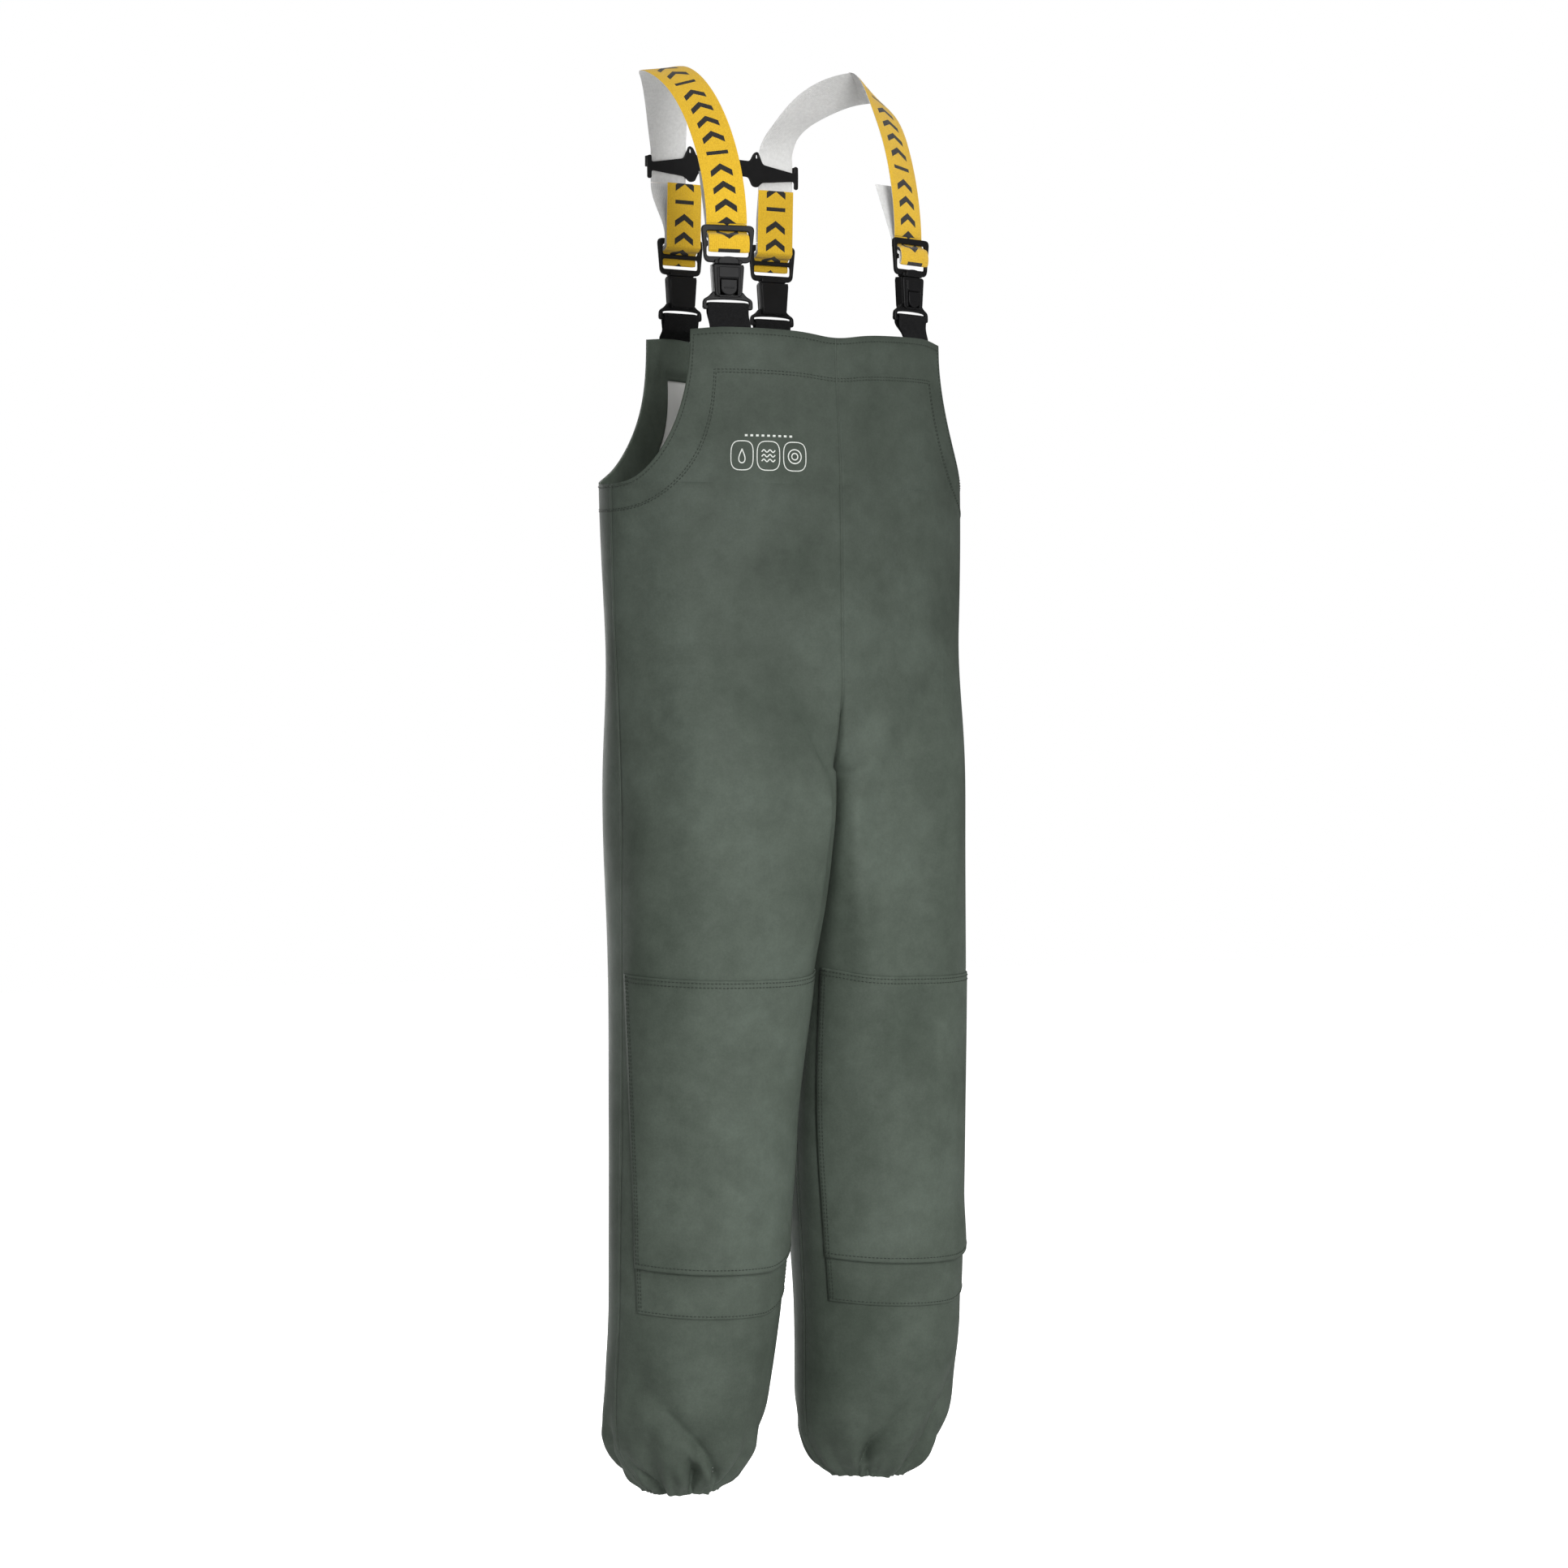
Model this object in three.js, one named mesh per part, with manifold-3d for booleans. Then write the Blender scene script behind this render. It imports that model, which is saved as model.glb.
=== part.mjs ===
// Bib-and-brace waterproof overalls on elastic shoulder straps.
// Millimetres. +Z is up and the wearer faces -Y, so the wearer's right side is -X.
// The origin is the line that holds the overalls up: the underside of the straps at the shoulders.
import * as THREE from 'three';
import { mergeVertices } from 'three/addons/utils/BufferGeometryUtils.js';
import Module from 'manifold-3d';

const wasm = await Module();
wasm.setup();

// Overall lengths, each measured down the wearer.
const STRAP_DROP = 286;
const ARMHOLE_DEPTH = 166;
const BIB_TO_CROTCH = 472;
const INSEAM = 771;
const KNEE_PATCH_BELOW_CROTCH = 213;
const KNEE_PATCH_LENGTH = 311;
const KNEE_BAND_DROP = 48;
const KNEE_OVERLAP = 26;
const KNEE_RAMP = 30;

// Places where a leg's girth is given.
const THIGH_BELOW_CROTCH = 217;
const KNEE_BELOW_CROTCH = 388;
const CALF_ABOVE_HEM = 210;
const SHIN_ABOVE_HEM = 97;
const ANKLE_ABOVE_HEM = 54;
const HEEL_ABOVE_HEM = 17;

// Girths, as half widths and half depths.
const BIB_HALF_WIDTH = 203;
const CHEST_HALF_WIDTH = 220;
const BIB_FRONT_DEPTH = 98;
const BIB_BACK_DEPTH = 142;
const CHEST_FRONT_DEPTH = 107;
const CHEST_BACK_DEPTH = 126;
const HIP_HALF_WIDTH = 211;
const HIP_FRONT_DEPTH = 112;
const HIP_BACK_DEPTH = 118;
const LEG_GAP = 2;
const THIGH_HALF_WIDTH = 104;
const THIGH_HALF_DEPTH = 106;
const KNEE_HALF_WIDTH = 102;
const KNEE_HALF_DEPTH = 96;
const CALF_HALF_WIDTH = 94;
const CALF_HALF_DEPTH = 88;
const SHIN_HALF_WIDTH = 88;
const SHIN_HALF_DEPTH = 83;
const ANKLE_HALF_WIDTH = 80;
const ANKLE_HALF_DEPTH = 77;
const HEEL_RADIUS = 61;
const HEM_RADIUS = 45;

// How far each leg's middle is from the centre line, and how far behind the body's.
const KNEE_SPREAD = 110;
const CALF_SPREAD = 117;
const ANKLE_SPREAD = 122;
const HEM_SPREAD = 121;
const KNEE_SETBACK = -5;
const CALF_SETBACK = -2;
const SHIN_SETBACK = 9;
const ANKLE_SETBACK = 16;
const HEM_SETBACK = 22;

// Cloth, facings and seams.
const CLOTH = 2;
const FACING = 1.2;
const SEAM_GAP = 0.4;
const LAYER_GAP = 0.8;
const FACING_GAP = 1.8;
const FACING_TOP = 45;
const FACING_SIDE = 0.11;
const FACING_BOTTOM = 27;
const FRONT_BIB_SHARE = 0.575;
const BACK_BIB_SHARE = 0.335;
const ARMHOLE_SQUARENESS = 2.7;
const ARMHOLE_CROWDING = 1.8;
const CROTCH_CURVE = 70;
const CROTCH_FULLNESS = 0.4;
const CROTCH_SQUARENESS = 8;
const GROIN_SQUARENESS = 5;
const GROIN_BELOW_CROTCH = 90;
const THIGH_SQUARENESS = 2.9;
const SEAM_REACH = 0.35;
const SIDE_BLEND_ABOVE = 160;
const SIDE_BLEND_BELOW = 60;
const HEM_LAP = 1;

// Ankle hem: a folded casing with an elastic band in it.
const CASING_HEIGHT = 22;
const CASING_WALL = 1.2;
const ELASTIC_THICKNESS = 1.4;
const ELASTIC_WIDTH = 14;
const CASING_CLEARANCE = 1;

// Webbing and straps.
const WEBBING_WIDTH = 45;
const WEBBING = 1.8;
const FIT = 0.4;
const SHOULDER_HALF_SPAN = 130;
const SHOULDER_SETBACK = 50;
const STRAP_ROUNDNESS = 1.5;
const STRAP_CUT = 0.5;
const SHOULDER_YAW = 0.5;
const YOKE_DROP = 87;
const YOKE_SETBACK = 12;
const YOKE_STRAP_OFFSET = 70;
const YOKE_THICKNESS = 3;
const YOKE_HALF_HEIGHT = 20;
const YOKE_POST = 5;
const YOKE_LIP = 2;
const YOKE_LIP_HALF_HEIGHT = 6;
const FRONT_RUN = 102;
const TAIL_RISE = 60;
const TAIL_SLACK = 1.4;
const FRONT_TAIL_LEAN = 24;
const BACK_TAIL_LEAN = 2;
const FRONT_STUB_SHOWN = 18;
const BACK_STUB_SHOWN = 25;
const STUB_SEWN = 33;
const STUB_CLEARANCE = 1.6;

// Clips: the ladder frame, its tongue, the housing and the release tab.
const FRAME_STILE = 6.6;
const FRAME_HEIGHT = 40;
const FRAME_THICKNESS = 4;
const RAIL = 6.4;
const MIDDLE_BAR = 4.6;
const TONGUE_WIDTH = 22;
const TONGUE_THICKNESS = 2.6;
const TONGUE_LENGTH = 22;
const HOUSING_WIDTH = 35;
const HOUSING_LENGTH = 34;
const HOUSING_FRONT = 5.6;
const HOUSING_BACK = 8;
const LOOP_STILE = 4.6;
const LOOP_BAR = 4.6;
const LOOP_SLOT = 4.6;
const LOOP_DROP = 4.5;
const SLOT_PLAY = 0.9;
const CLIP_GAP = 2;
const FORK_HALF_WIDTH = 4.4;
const FORK_DEPTH = 13;
const TAB_HEEL = 1.2;
const TAB_WIDTH = 18;
const TAB_TRAVEL = 1.6;
const TAB_PLATE = 3;
const FRONT_CLIP_YAW = 15;
const BACK_CLIP_YAW = 2;
const FRONT_CLIP_SHARE = 0.405;
const BACK_CLIP_SHARE = 0.195;

// Levels that follow from the lengths.
const bibTop = -STRAP_DROP;
const armholeBottom = bibTop - ARMHOLE_DEPTH;
const crotch = bibTop - BIB_TO_CROTCH;
const kneePatchTop = crotch - KNEE_PATCH_BELOW_CROTCH;
const kneePatchBottom = kneePatchTop - KNEE_PATCH_LENGTH;
const kneeBandBottom = kneePatchBottom - KNEE_BAND_DROP;
const kneeTread = kneePatchBottom + KNEE_OVERLAP;
const kneeLevels = [0, 1, 2].map((i) => THREE.MathUtils.lerp(kneePatchTop, kneePatchBottom, i / 3));
kneeLevels.push(kneeTread + KNEE_RAMP, kneeTread, kneePatchBottom);
const hem = crotch - INSEAM;
const riseStart = crotch + CROTCH_CURVE;

const clothMaterial = { color: 0x4f5b50, roughness: 0.82, metalness: 0 };
const facingMaterial = { color: 0x49554b, roughness: 0.85, metalness: 0 };
const elasticMaterial = { color: 0xe6e6e2, roughness: 0.9, metalness: 0 };
const strapMaterial = { color: 0xdcb021, roughness: 0.8, metalness: 0 };
const webbingMaterial = { color: 0x17181a, roughness: 0.85, metalness: 0 };
const plasticMaterial = { color: 0x1c1d1e, roughness: 0.45, metalness: 0 };

const RIGHT = { name: 'right', sign: -1 };
const LEFT = { name: 'left', sign: 1 };
const FRONT = { name: 'front', sign: -1 };
const BACK = { name: 'back', sign: 1 };

const garment = new THREE.Group();
garment.position.y = -SHOULDER_SETBACK;

/** Adds one named mesh to a group and returns it. */
function addPart(name, geometry, material, group = garment) {
  const mesh = new THREE.Mesh(geometry, new THREE.MeshStandardMaterial(material));
  mesh.name = name;
  group.add(mesh);
  return mesh;
}

/** A smooth curve through stations [position, value], flat beyond both ends. */
function through(stations) {
  const sorted = [...stations].sort((first, second) => first[0] - second[0]);
  const last = sorted.length - 1;
  const slope = (i) => {
    if (i === 0 || i === last) return 0;
    const before = (sorted[i][1] - sorted[i - 1][1]) / (sorted[i][0] - sorted[i - 1][0]);
    const after = (sorted[i + 1][1] - sorted[i][1]) / (sorted[i + 1][0] - sorted[i][0]);
    return before * after <= 0 ? 0 : (2 * before * after) / (before + after);
  };
  return (position) => {
    if (position <= sorted[0][0]) return sorted[0][1];
    if (position >= sorted[last][0]) return sorted[last][1];
    let i = 0;
    while (position > sorted[i + 1][0]) i += 1;
    const span = sorted[i + 1][0] - sorted[i][0];
    const t = (position - sorted[i][0]) / span;
    const t2 = t * t;
    const t3 = t2 * t;
    const start = (2 * t3 - 3 * t2 + 1) * sorted[i][1] + (t3 - 2 * t2 + t) * span * slope(i);
    return start + (3 * t2 - 2 * t3) * sorted[i + 1][1] + (t3 - t2) * span * slope(i + 1);
  };
}

// The body above the crotch is an ellipse with its own depth in front and behind.
const chestWidth = through([[bibTop, BIB_HALF_WIDTH], [armholeBottom, CHEST_HALF_WIDTH], [crotch, HIP_HALF_WIDTH]]);
const bodyDepth = {
  front: through([[bibTop, BIB_FRONT_DEPTH], [armholeBottom, CHEST_FRONT_DEPTH], [crotch, HIP_FRONT_DEPTH]]),
  back: through([[bibTop, BIB_BACK_DEPTH], [armholeBottom, CHEST_BACK_DEPTH], [crotch, HIP_BACK_DEPTH]]),
};

// Each leg is a ring whose inner half is squared off near the crotch.
const thigh = crotch - THIGH_BELOW_CROTCH;
const knee = crotch - KNEE_BELOW_CROTCH;
const calf = hem + CALF_ABOVE_HEM;
const shin = hem + SHIN_ABOVE_HEM;
const ankle = hem + ANKLE_ABOVE_HEM;
const heel = hem + HEEL_ABOVE_HEM;
const hipSpread = (HIP_HALF_WIDTH + LEG_GAP / 2) / 2;
const legCentre = through([
  [crotch, hipSpread],
  [knee, KNEE_SPREAD],
  [calf, CALF_SPREAD],
  [ankle, ANKLE_SPREAD],
  [hem, HEM_SPREAD],
]);
const legSetback = through([
  [knee, KNEE_SETBACK],
  [calf, CALF_SETBACK],
  [shin, SHIN_SETBACK],
  [ankle, ANKLE_SETBACK],
  [hem, HEM_SETBACK],
]);
const legWidth = through([
  [crotch, hipSpread - LEG_GAP / 2],
  [thigh, THIGH_HALF_WIDTH],
  [knee, KNEE_HALF_WIDTH],
  [calf, CALF_HALF_WIDTH],
  [shin, SHIN_HALF_WIDTH],
  [ankle, ANKLE_HALF_WIDTH],
  [heel, HEEL_RADIUS],
  [hem, HEM_RADIUS],
]);
const legDepth = {};
for (const [face, hip] of [['front', HIP_FRONT_DEPTH], ['back', HIP_BACK_DEPTH]]) {
  legDepth[face] = through([
    [crotch, hip],
    [thigh, THIGH_HALF_DEPTH],
    [knee, KNEE_HALF_DEPTH],
    [calf, CALF_HALF_DEPTH],
    [shin, SHIN_HALF_DEPTH],
    [ankle, ANKLE_HALF_DEPTH],
    [heel, HEEL_RADIUS],
    [hem, HEM_RADIUS],
  ]);
}
const legSquareness = through([
  [crotch, CROTCH_SQUARENESS],
  [crotch - GROIN_BELOW_CROTCH, GROIN_SQUARENESS],
  [thigh, THIGH_SQUARENESS],
  [knee, 2],
]);

/** Height between two levels as 0 to 1, eased at both ends. */
function easeBetween(level, from, to) {
  return THREE.MathUtils.smoothstep((level - from) / (to - from), 0, 1);
}

/** A point of the outer cloth, with share 0 at the centre seam or inseam and 1 at the side seam. */
function clothPoint(face, side, share, level) {
  const angle = share * Math.PI / 2;
  const bodyX = chestWidth(level) * Math.sin(angle);
  const bodyY = bodyDepth[face.name](level) * Math.cos(angle);
  const turn = share * Math.PI;
  const square = share < 0.5 ? 2 / legSquareness(level) : 1;
  const across = Math.sign(Math.cos(turn)) * Math.abs(Math.cos(turn)) ** square;
  const forward = Math.abs(Math.sin(turn)) ** square;
  const legX = legCentre(level) - legWidth(level) * across;
  const legY = legDepth[face.name](level) * forward;
  const drop = THREE.MathUtils.clamp((riseStart - level) / CROTCH_CURVE, 0, 1);
  const seamBlend = 1 - Math.sqrt(1 - drop * drop);
  const sideBlend = easeBetween(level, crotch + SIDE_BLEND_ABOVE, crotch - SIDE_BLEND_BELOW);
  const blend = THREE.MathUtils.lerp(seamBlend, sideBlend, easeBetween(share, 0, SEAM_REACH));
  const fullness = 1 + CROTCH_FULLNESS * blend * (1 - blend) * Math.sin(turn);
  const setback = legSetback(level) * sideBlend;
  const x = THREE.MathUtils.lerp(bodyX, legX, blend) + SEAM_GAP / 2;
  const y = THREE.MathUtils.lerp(bodyY, legY, blend) * fullness + SEAM_GAP / 2;
  return new THREE.Vector3(x * side.sign, y * face.sign + setback, level);
}

/** A point below the outer cloth, or above it where the depth is negative. */
function layerPoint(face, side, share, level, depth) {
  const step = 0.01;
  const shareFrom = THREE.MathUtils.clamp(share - step, 0.001, 1);
  const shareTo = THREE.MathUtils.clamp(share + step, 0, 1);
  const across = clothPoint(face, side, shareTo, level).sub(clothPoint(face, side, shareFrom, level));
  const down = clothPoint(face, side, share, level - 2).sub(clothPoint(face, side, share, level + 2));
  const inward = across.cross(down).normalize().multiplyScalar(-depth * face.sign * side.sign);
  return clothPoint(face, side, share, level).add(inward);
}

/** Sets a closed geometry's triangles to face outwards. */
function facingOutward(geometry) {
  const position = geometry.attributes.position;
  const index = geometry.index.array;
  const corners = [0, 1, 2].map(() => new THREE.Vector3());
  let volume = 0;
  for (let i = 0; i < index.length; i += 3) {
    corners.forEach((corner, k) => corner.fromBufferAttribute(position, index[i + k]));
    volume += corners[0].dot(corners[1].cross(corners[2]));
  }
  if (volume < 0) {
    for (let i = 0; i < index.length; i += 3) {
      [index[i], index[i + 1]] = [index[i + 1], index[i]];
    }
  }
  geometry.computeVertexNormals();
  return geometry;
}

/** A closed sheet between two layers of points, pointAt(column, row, layer). */
function sheet(columns, rows, pointAt) {
  const positions = [];
  const indices = [];
  for (const layer of [0, 1]) {
    for (let row = 0; row <= rows; row += 1) {
      for (let column = 0; column <= columns; column += 1) {
        positions.push(...pointAt(column, row, layer).toArray());
      }
    }
  }
  const at = (column, row, layer) => (layer * (rows + 1) + row) * (columns + 1) + column;
  const quad = (a, b, c, d) => indices.push(a, b, c, a, c, d);
  for (let row = 0; row < rows; row += 1) {
    for (let column = 0; column < columns; column += 1) {
      const corners = [[column, row], [column + 1, row], [column + 1, row + 1], [column, row + 1]];
      const [a, b, c, d] = corners.map(([i, j]) => at(i, j, 0));
      const inner = at(0, 0, 1);
      quad(a, b, c, d);
      quad(a + inner, d + inner, c + inner, b + inner);
    }
    quad(at(0, row, 0), at(0, row + 1, 0), at(0, row + 1, 1), at(0, row, 1));
    quad(at(columns, row, 0), at(columns, row, 1), at(columns, row + 1, 1), at(columns, row + 1, 0));
  }
  for (let column = 0; column < columns; column += 1) {
    quad(at(column, 0, 0), at(column, 0, 1), at(column + 1, 0, 1), at(column + 1, 0, 0));
    quad(at(column, rows, 0), at(column + 1, rows, 0), at(column + 1, rows, 1), at(column, rows, 1));
  }
  const geometry = new THREE.BufferGeometry();
  geometry.setAttribute('position', new THREE.Float32BufferAttribute(positions, 3));
  geometry.setIndex(indices);
  return facingOutward(geometry);
}

/** Where the armhole edge runs, for progress 0 at the bib corner and 1 at the side seam. */
function armholeEdge(bibShare, top, bottom, progress) {
  const curve = 2 / ARMHOLE_SQUARENESS;
  const angle = Math.PI / 2 * (1 - progress) ** ARMHOLE_CROWDING;
  const share = 1 - (1 - bibShare) * Math.sin(angle) ** curve;
  const level = bottom + (top - bottom) * (1 - Math.cos(angle) ** curve);
  return { share, level };
}

const bibShares = { front: FRONT_BIB_SHARE, back: BACK_BIB_SHARE };
const armholeRows = 8;
const panelColumns = 10;

/** The rows of a main panel from the bib to the hem, each with how far it reaches to the side. */
function panelRows(face) {
  const rows = [];
  for (let i = 0; i < armholeRows; i += 1) {
    rows.push(armholeEdge(bibShares[face.name], bibTop, armholeBottom, i / armholeRows));
  }
  const stops = [
    [armholeBottom, riseStart, 3],
    [riseStart, crotch, 5],
    [crotch, kneePatchTop, 3],
    ...kneeLevels.slice(1).map((level, i) => [kneeLevels[i], level, 1]),
    [kneePatchBottom, kneeBandBottom, 1],
    [kneeBandBottom, ankle, 2],
    [ankle, hem + HEM_LAP, 4],
  ];
  for (const [from, to, count] of stops) {
    for (let i = 0; i < count; i += 1) {
      rows.push({ share: 1, level: THREE.MathUtils.lerp(from, to, i / count) });
    }
  }
  rows.push({ share: 1, level: hem + HEM_LAP });
  return rows;
}

/** One of the four main panels, from the bib top to the ankle. */
function panel(face, side) {
  const rows = panelRows(face);
  const geometry = sheet(panelColumns, rows.length - 1, (column, row, layer) => {
    const { share, level } = rows[row];
    return layerPoint(face, side, share * column / panelColumns, level, layer * CLOTH);
  });
  addPart(`panel_${face.name}_${side.name}`, geometry, clothMaterial);
}

/** The facing sewn inside the bib along its top edge and its armhole. */
function facing(face, side) {
  const bib = bibShares[face.name];
  const topColumns = 5;
  const armholeColumns = 10;
  const depth = CLOTH + FACING_GAP;
  const edge = (column, inset) => {
    const corner = bib - FACING_SIDE * inset;
    const top = bibTop - FACING_TOP * inset;
    const bottom = armholeBottom - FACING_BOTTOM * inset;
    if (column <= topColumns) return { share: corner * column / topColumns, level: top };
    return armholeEdge(corner, top, bottom, (column - topColumns) / armholeColumns);
  };
  const geometry = sheet(topColumns + armholeColumns, 1, (column, row, layer) => {
    const { share, level } = edge(column, row);
    return layerPoint(face, side, share, level, depth + layer * FACING);
  });
  addPart(`facing_${face.name}_${side.name}`, geometry, facingMaterial);
}

const patchShares = [1, 2, 3, 4, 5, 6, 7, 8, 9].map((column) => column / panelColumns);

/** A layer sewn over the front of the leg, between two levels, lifted by lift(level). */
function legLayer(side, levels, lift) {
  return sheet(patchShares.length - 1, levels.length - 1, (column, row, layer) => {
    const height = lift(levels[row]) + (1 - layer) * FACING;
    return layerPoint(FRONT, side, patchShares[column], levels[row], -height);
  });
}

/** The knee patch and, under its free lower edge, the band that closes the knee pocket. */
function kneePocket(side) {
  const lift = (level) => {
    const overlap = 1 - easeBetween(level, kneeTread, kneeTread + KNEE_RAMP);
    return LAYER_GAP + overlap * (FACING + LAYER_GAP);
  };
  addPart(`knee_patch_${side.name}`, legLayer(side, kneeLevels, lift), clothMaterial);
  const bandLevels = [kneeTread, kneePatchBottom, kneeBandBottom];
  addPart(`knee_band_${side.name}`, legLayer(side, bandLevels, () => LAYER_GAP), clothMaterial);
}

/** A ring about the ankle from a closed profile of [radius, height above the hem]. */
function ankleRing(profile, side) {
  const points = [...profile, profile[0]].map(([radius, height]) => new THREE.Vector2(radius, height));
  const geometry = new THREE.LatheGeometry(points, 16);
  geometry.rotateX(Math.PI / 2);
  geometry.translate(legCentre(hem) * side.sign, legSetback(hem), hem);
  return geometry;
}

/** The folded casing at the ankle and the elastic band inside it. */
function ankleHem(side) {
  const outer = HEM_RADIUS - CLOTH - CASING_CLEARANCE;
  const pocketOuter = outer - CASING_WALL;
  const elasticOuter = pocketOuter - FIT;
  const elasticInner = elasticOuter - ELASTIC_THICKNESS;
  const pocketInner = elasticInner - FIT;
  const inner = pocketInner - CASING_WALL;
  const casing = [
    [inner, 0],
    [outer, 0],
    [outer, CASING_HEIGHT],
    [pocketOuter, CASING_HEIGHT],
    [pocketOuter, CASING_WALL],
    [pocketInner, CASING_WALL],
    [pocketInner, CASING_HEIGHT],
    [inner, CASING_HEIGHT],
  ];
  addPart(`hem_casing_${side.name}`, ankleRing(casing, side), clothMaterial);
  const low = CASING_WALL + FIT;
  const band = [
    [elasticInner, low],
    [elasticOuter, low],
    [elasticOuter, low + ELASTIC_WIDTH],
    [elasticInner, low + ELASTIC_WIDTH],
  ];
  addPart(`hem_elastic_${side.name}`, ankleRing(band, side), elasticMaterial);
}

/** Turns a closed geometry into a solid for cutting and joining. */
function toSolid(geometry) {
  const bare = geometry.clone();
  bare.deleteAttribute('normal');
  bare.deleteAttribute('uv');
  const merged = mergeVertices(bare, 1e-4);
  return new wasm.Manifold(new wasm.Mesh({
    numProp: 3,
    vertProperties: new Float32Array(merged.attributes.position.array),
    triVerts: new Uint32Array(merged.index.array),
  }));
}

/** Turns a solid back into a geometry. */
function toGeometry(solid) {
  const mesh = solid.getMesh();
  const geometry = new THREE.BufferGeometry();
  geometry.setAttribute('position', new THREE.BufferAttribute(mesh.vertProperties, 3));
  geometry.setIndex(new THREE.BufferAttribute(mesh.triVerts, 1));
  geometry.computeVertexNormals();
  return geometry;
}

/** A path through the points of a closed outline, with its corners rounded. */
function roundedOutline(points, radius, path = new THREE.Shape()) {
  points.forEach((point, i) => {
    const corner = new THREE.Vector2(...point);
    const before = new THREE.Vector2(...points[(i + points.length - 1) % points.length]);
    const after = new THREE.Vector2(...points[(i + 1) % points.length]);
    const reach = Math.min(radius, corner.distanceTo(before) / 2, corner.distanceTo(after) / 2);
    const start = before.clone().sub(corner).setLength(reach).add(corner);
    const end = after.clone().sub(corner).setLength(reach).add(corner);
    if (i === 0) path.moveTo(start.x, start.y);
    else path.lineTo(start.x, start.y);
    path.quadraticCurveTo(corner.x, corner.y, end.x, end.y);
  });
  path.closePath();
  return path;
}

/** The four corners of a rectangle centred across, from one height to another. */
function rectangle(halfWidth, low, high) {
  return [[-halfWidth, low], [halfWidth, low], [halfWidth, high], [-halfWidth, high]];
}

/** A plate cut to an outline seen from outside, between two depths measured outwards. */
function plate(shape, inner, outer) {
  const geometry = new THREE.ExtrudeGeometry(shape, {
    depth: outer - inner,
    bevelEnabled: false,
    curveSegments: 3,
  });
  geometry.rotateX(Math.PI / 2);
  geometry.translate(0, outer, 0);
  return toSolid(geometry);
}

/** A block centred across, from one height to another, between two depths measured outwards. */
function block(halfWidth, low, high, inner, outer, centre = 0) {
  const geometry = new THREE.BoxGeometry(2 * halfWidth, outer - inner, high - low);
  geometry.translate(centre, (inner + outer) / 2, (low + high) / 2);
  return toSolid(geometry);
}

/** Joins a list of solids into one geometry. */
function joined(solids) {
  return toGeometry(solids.reduce((whole, solid) => whole.add(solid)));
}

// Heights on a clip, measured from the centre of its ladder frame.
const slotHalfWidth = WEBBING_WIDTH / 2 + SLOT_PLAY;
const frameHalfWidth = slotHalfWidth + FRAME_STILE;
const loopHalfWidth = slotHalfWidth + LOOP_STILE;
const frameTop = FRAME_HEIGHT / 2;
const frameBottom = -frameTop;
const housingTop = frameBottom - CLIP_GAP;
const housingBottom = housingTop - HOUSING_LENGTH;
const slotTop = housingBottom - LOOP_DROP;
const barTop = slotTop - LOOP_SLOT;
const barBottom = barTop - LOOP_BAR;
const halfFrame = FRAME_THICKNESS / 2;
const tongueHalf = TONGUE_THICKNESS / 2;
const tongueEnd = housingTop - TONGUE_LENGTH + 1;
const forkTop = tongueEnd + FORK_DEPTH;
const tabTop = tongueEnd + 5;
const tabBottom = housingBottom + 1.4;
const tabFaceBack = tongueHalf + TAB_TRAVEL + FIT;
const tabHeelFront = -tongueHalf - TAB_TRAVEL - 0.1;
const tabHeelBack = tabHeelFront - TAB_HEEL;
const cavityBack = tabHeelBack - TAB_TRAVEL - FIT;
const tabWebTop = tongueEnd - 2;
const clipLevels = {
  front: bibTop + FRONT_STUB_SHOWN - barBottom,
  back: bibTop + BACK_STUB_SHOWN - barBottom,
};

/** The ladder frame that the strap threads, with the forked tongue below it. */
function adjusterGeometry() {
  const half = frameHalfWidth;
  const outline = [[-half + 4, frameBottom], [half - 4, frameBottom], [half, frameTop], [-half, frameTop]];
  const shape = roundedOutline(outline, 7);
  const windows = [[MIDDLE_BAR / 2, frameTop - RAIL], [frameBottom + RAIL, -MIDDLE_BAR / 2]];
  for (const [low, high] of windows) {
    shape.holes.push(roundedOutline(rectangle(slotHalfWidth, low, high), 2, new THREE.Path()));
  }
  const fork = new THREE.Shape();
  fork.moveTo(-TONGUE_WIDTH / 2, frameBottom + 3);
  fork.lineTo(-TONGUE_WIDTH / 2, tongueEnd);
  fork.lineTo(-FORK_HALF_WIDTH, tongueEnd);
  fork.lineTo(-FORK_HALF_WIDTH, forkTop);
  fork.lineTo(FORK_HALF_WIDTH, forkTop);
  fork.lineTo(FORK_HALF_WIDTH, tongueEnd);
  fork.lineTo(TONGUE_WIDTH / 2, tongueEnd);
  fork.lineTo(TONGUE_WIDTH / 2, frameBottom + 3);
  const collar = block(HOUSING_WIDTH / 2 - 2, housingTop + FIT, frameBottom + 2, -5, HOUSING_FRONT - 1);
  return joined([
    plate(shape, -halfFrame, halfFrame),
    plate(fork, -tongueHalf, tongueHalf),
    collar,
  ]);
}

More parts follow.
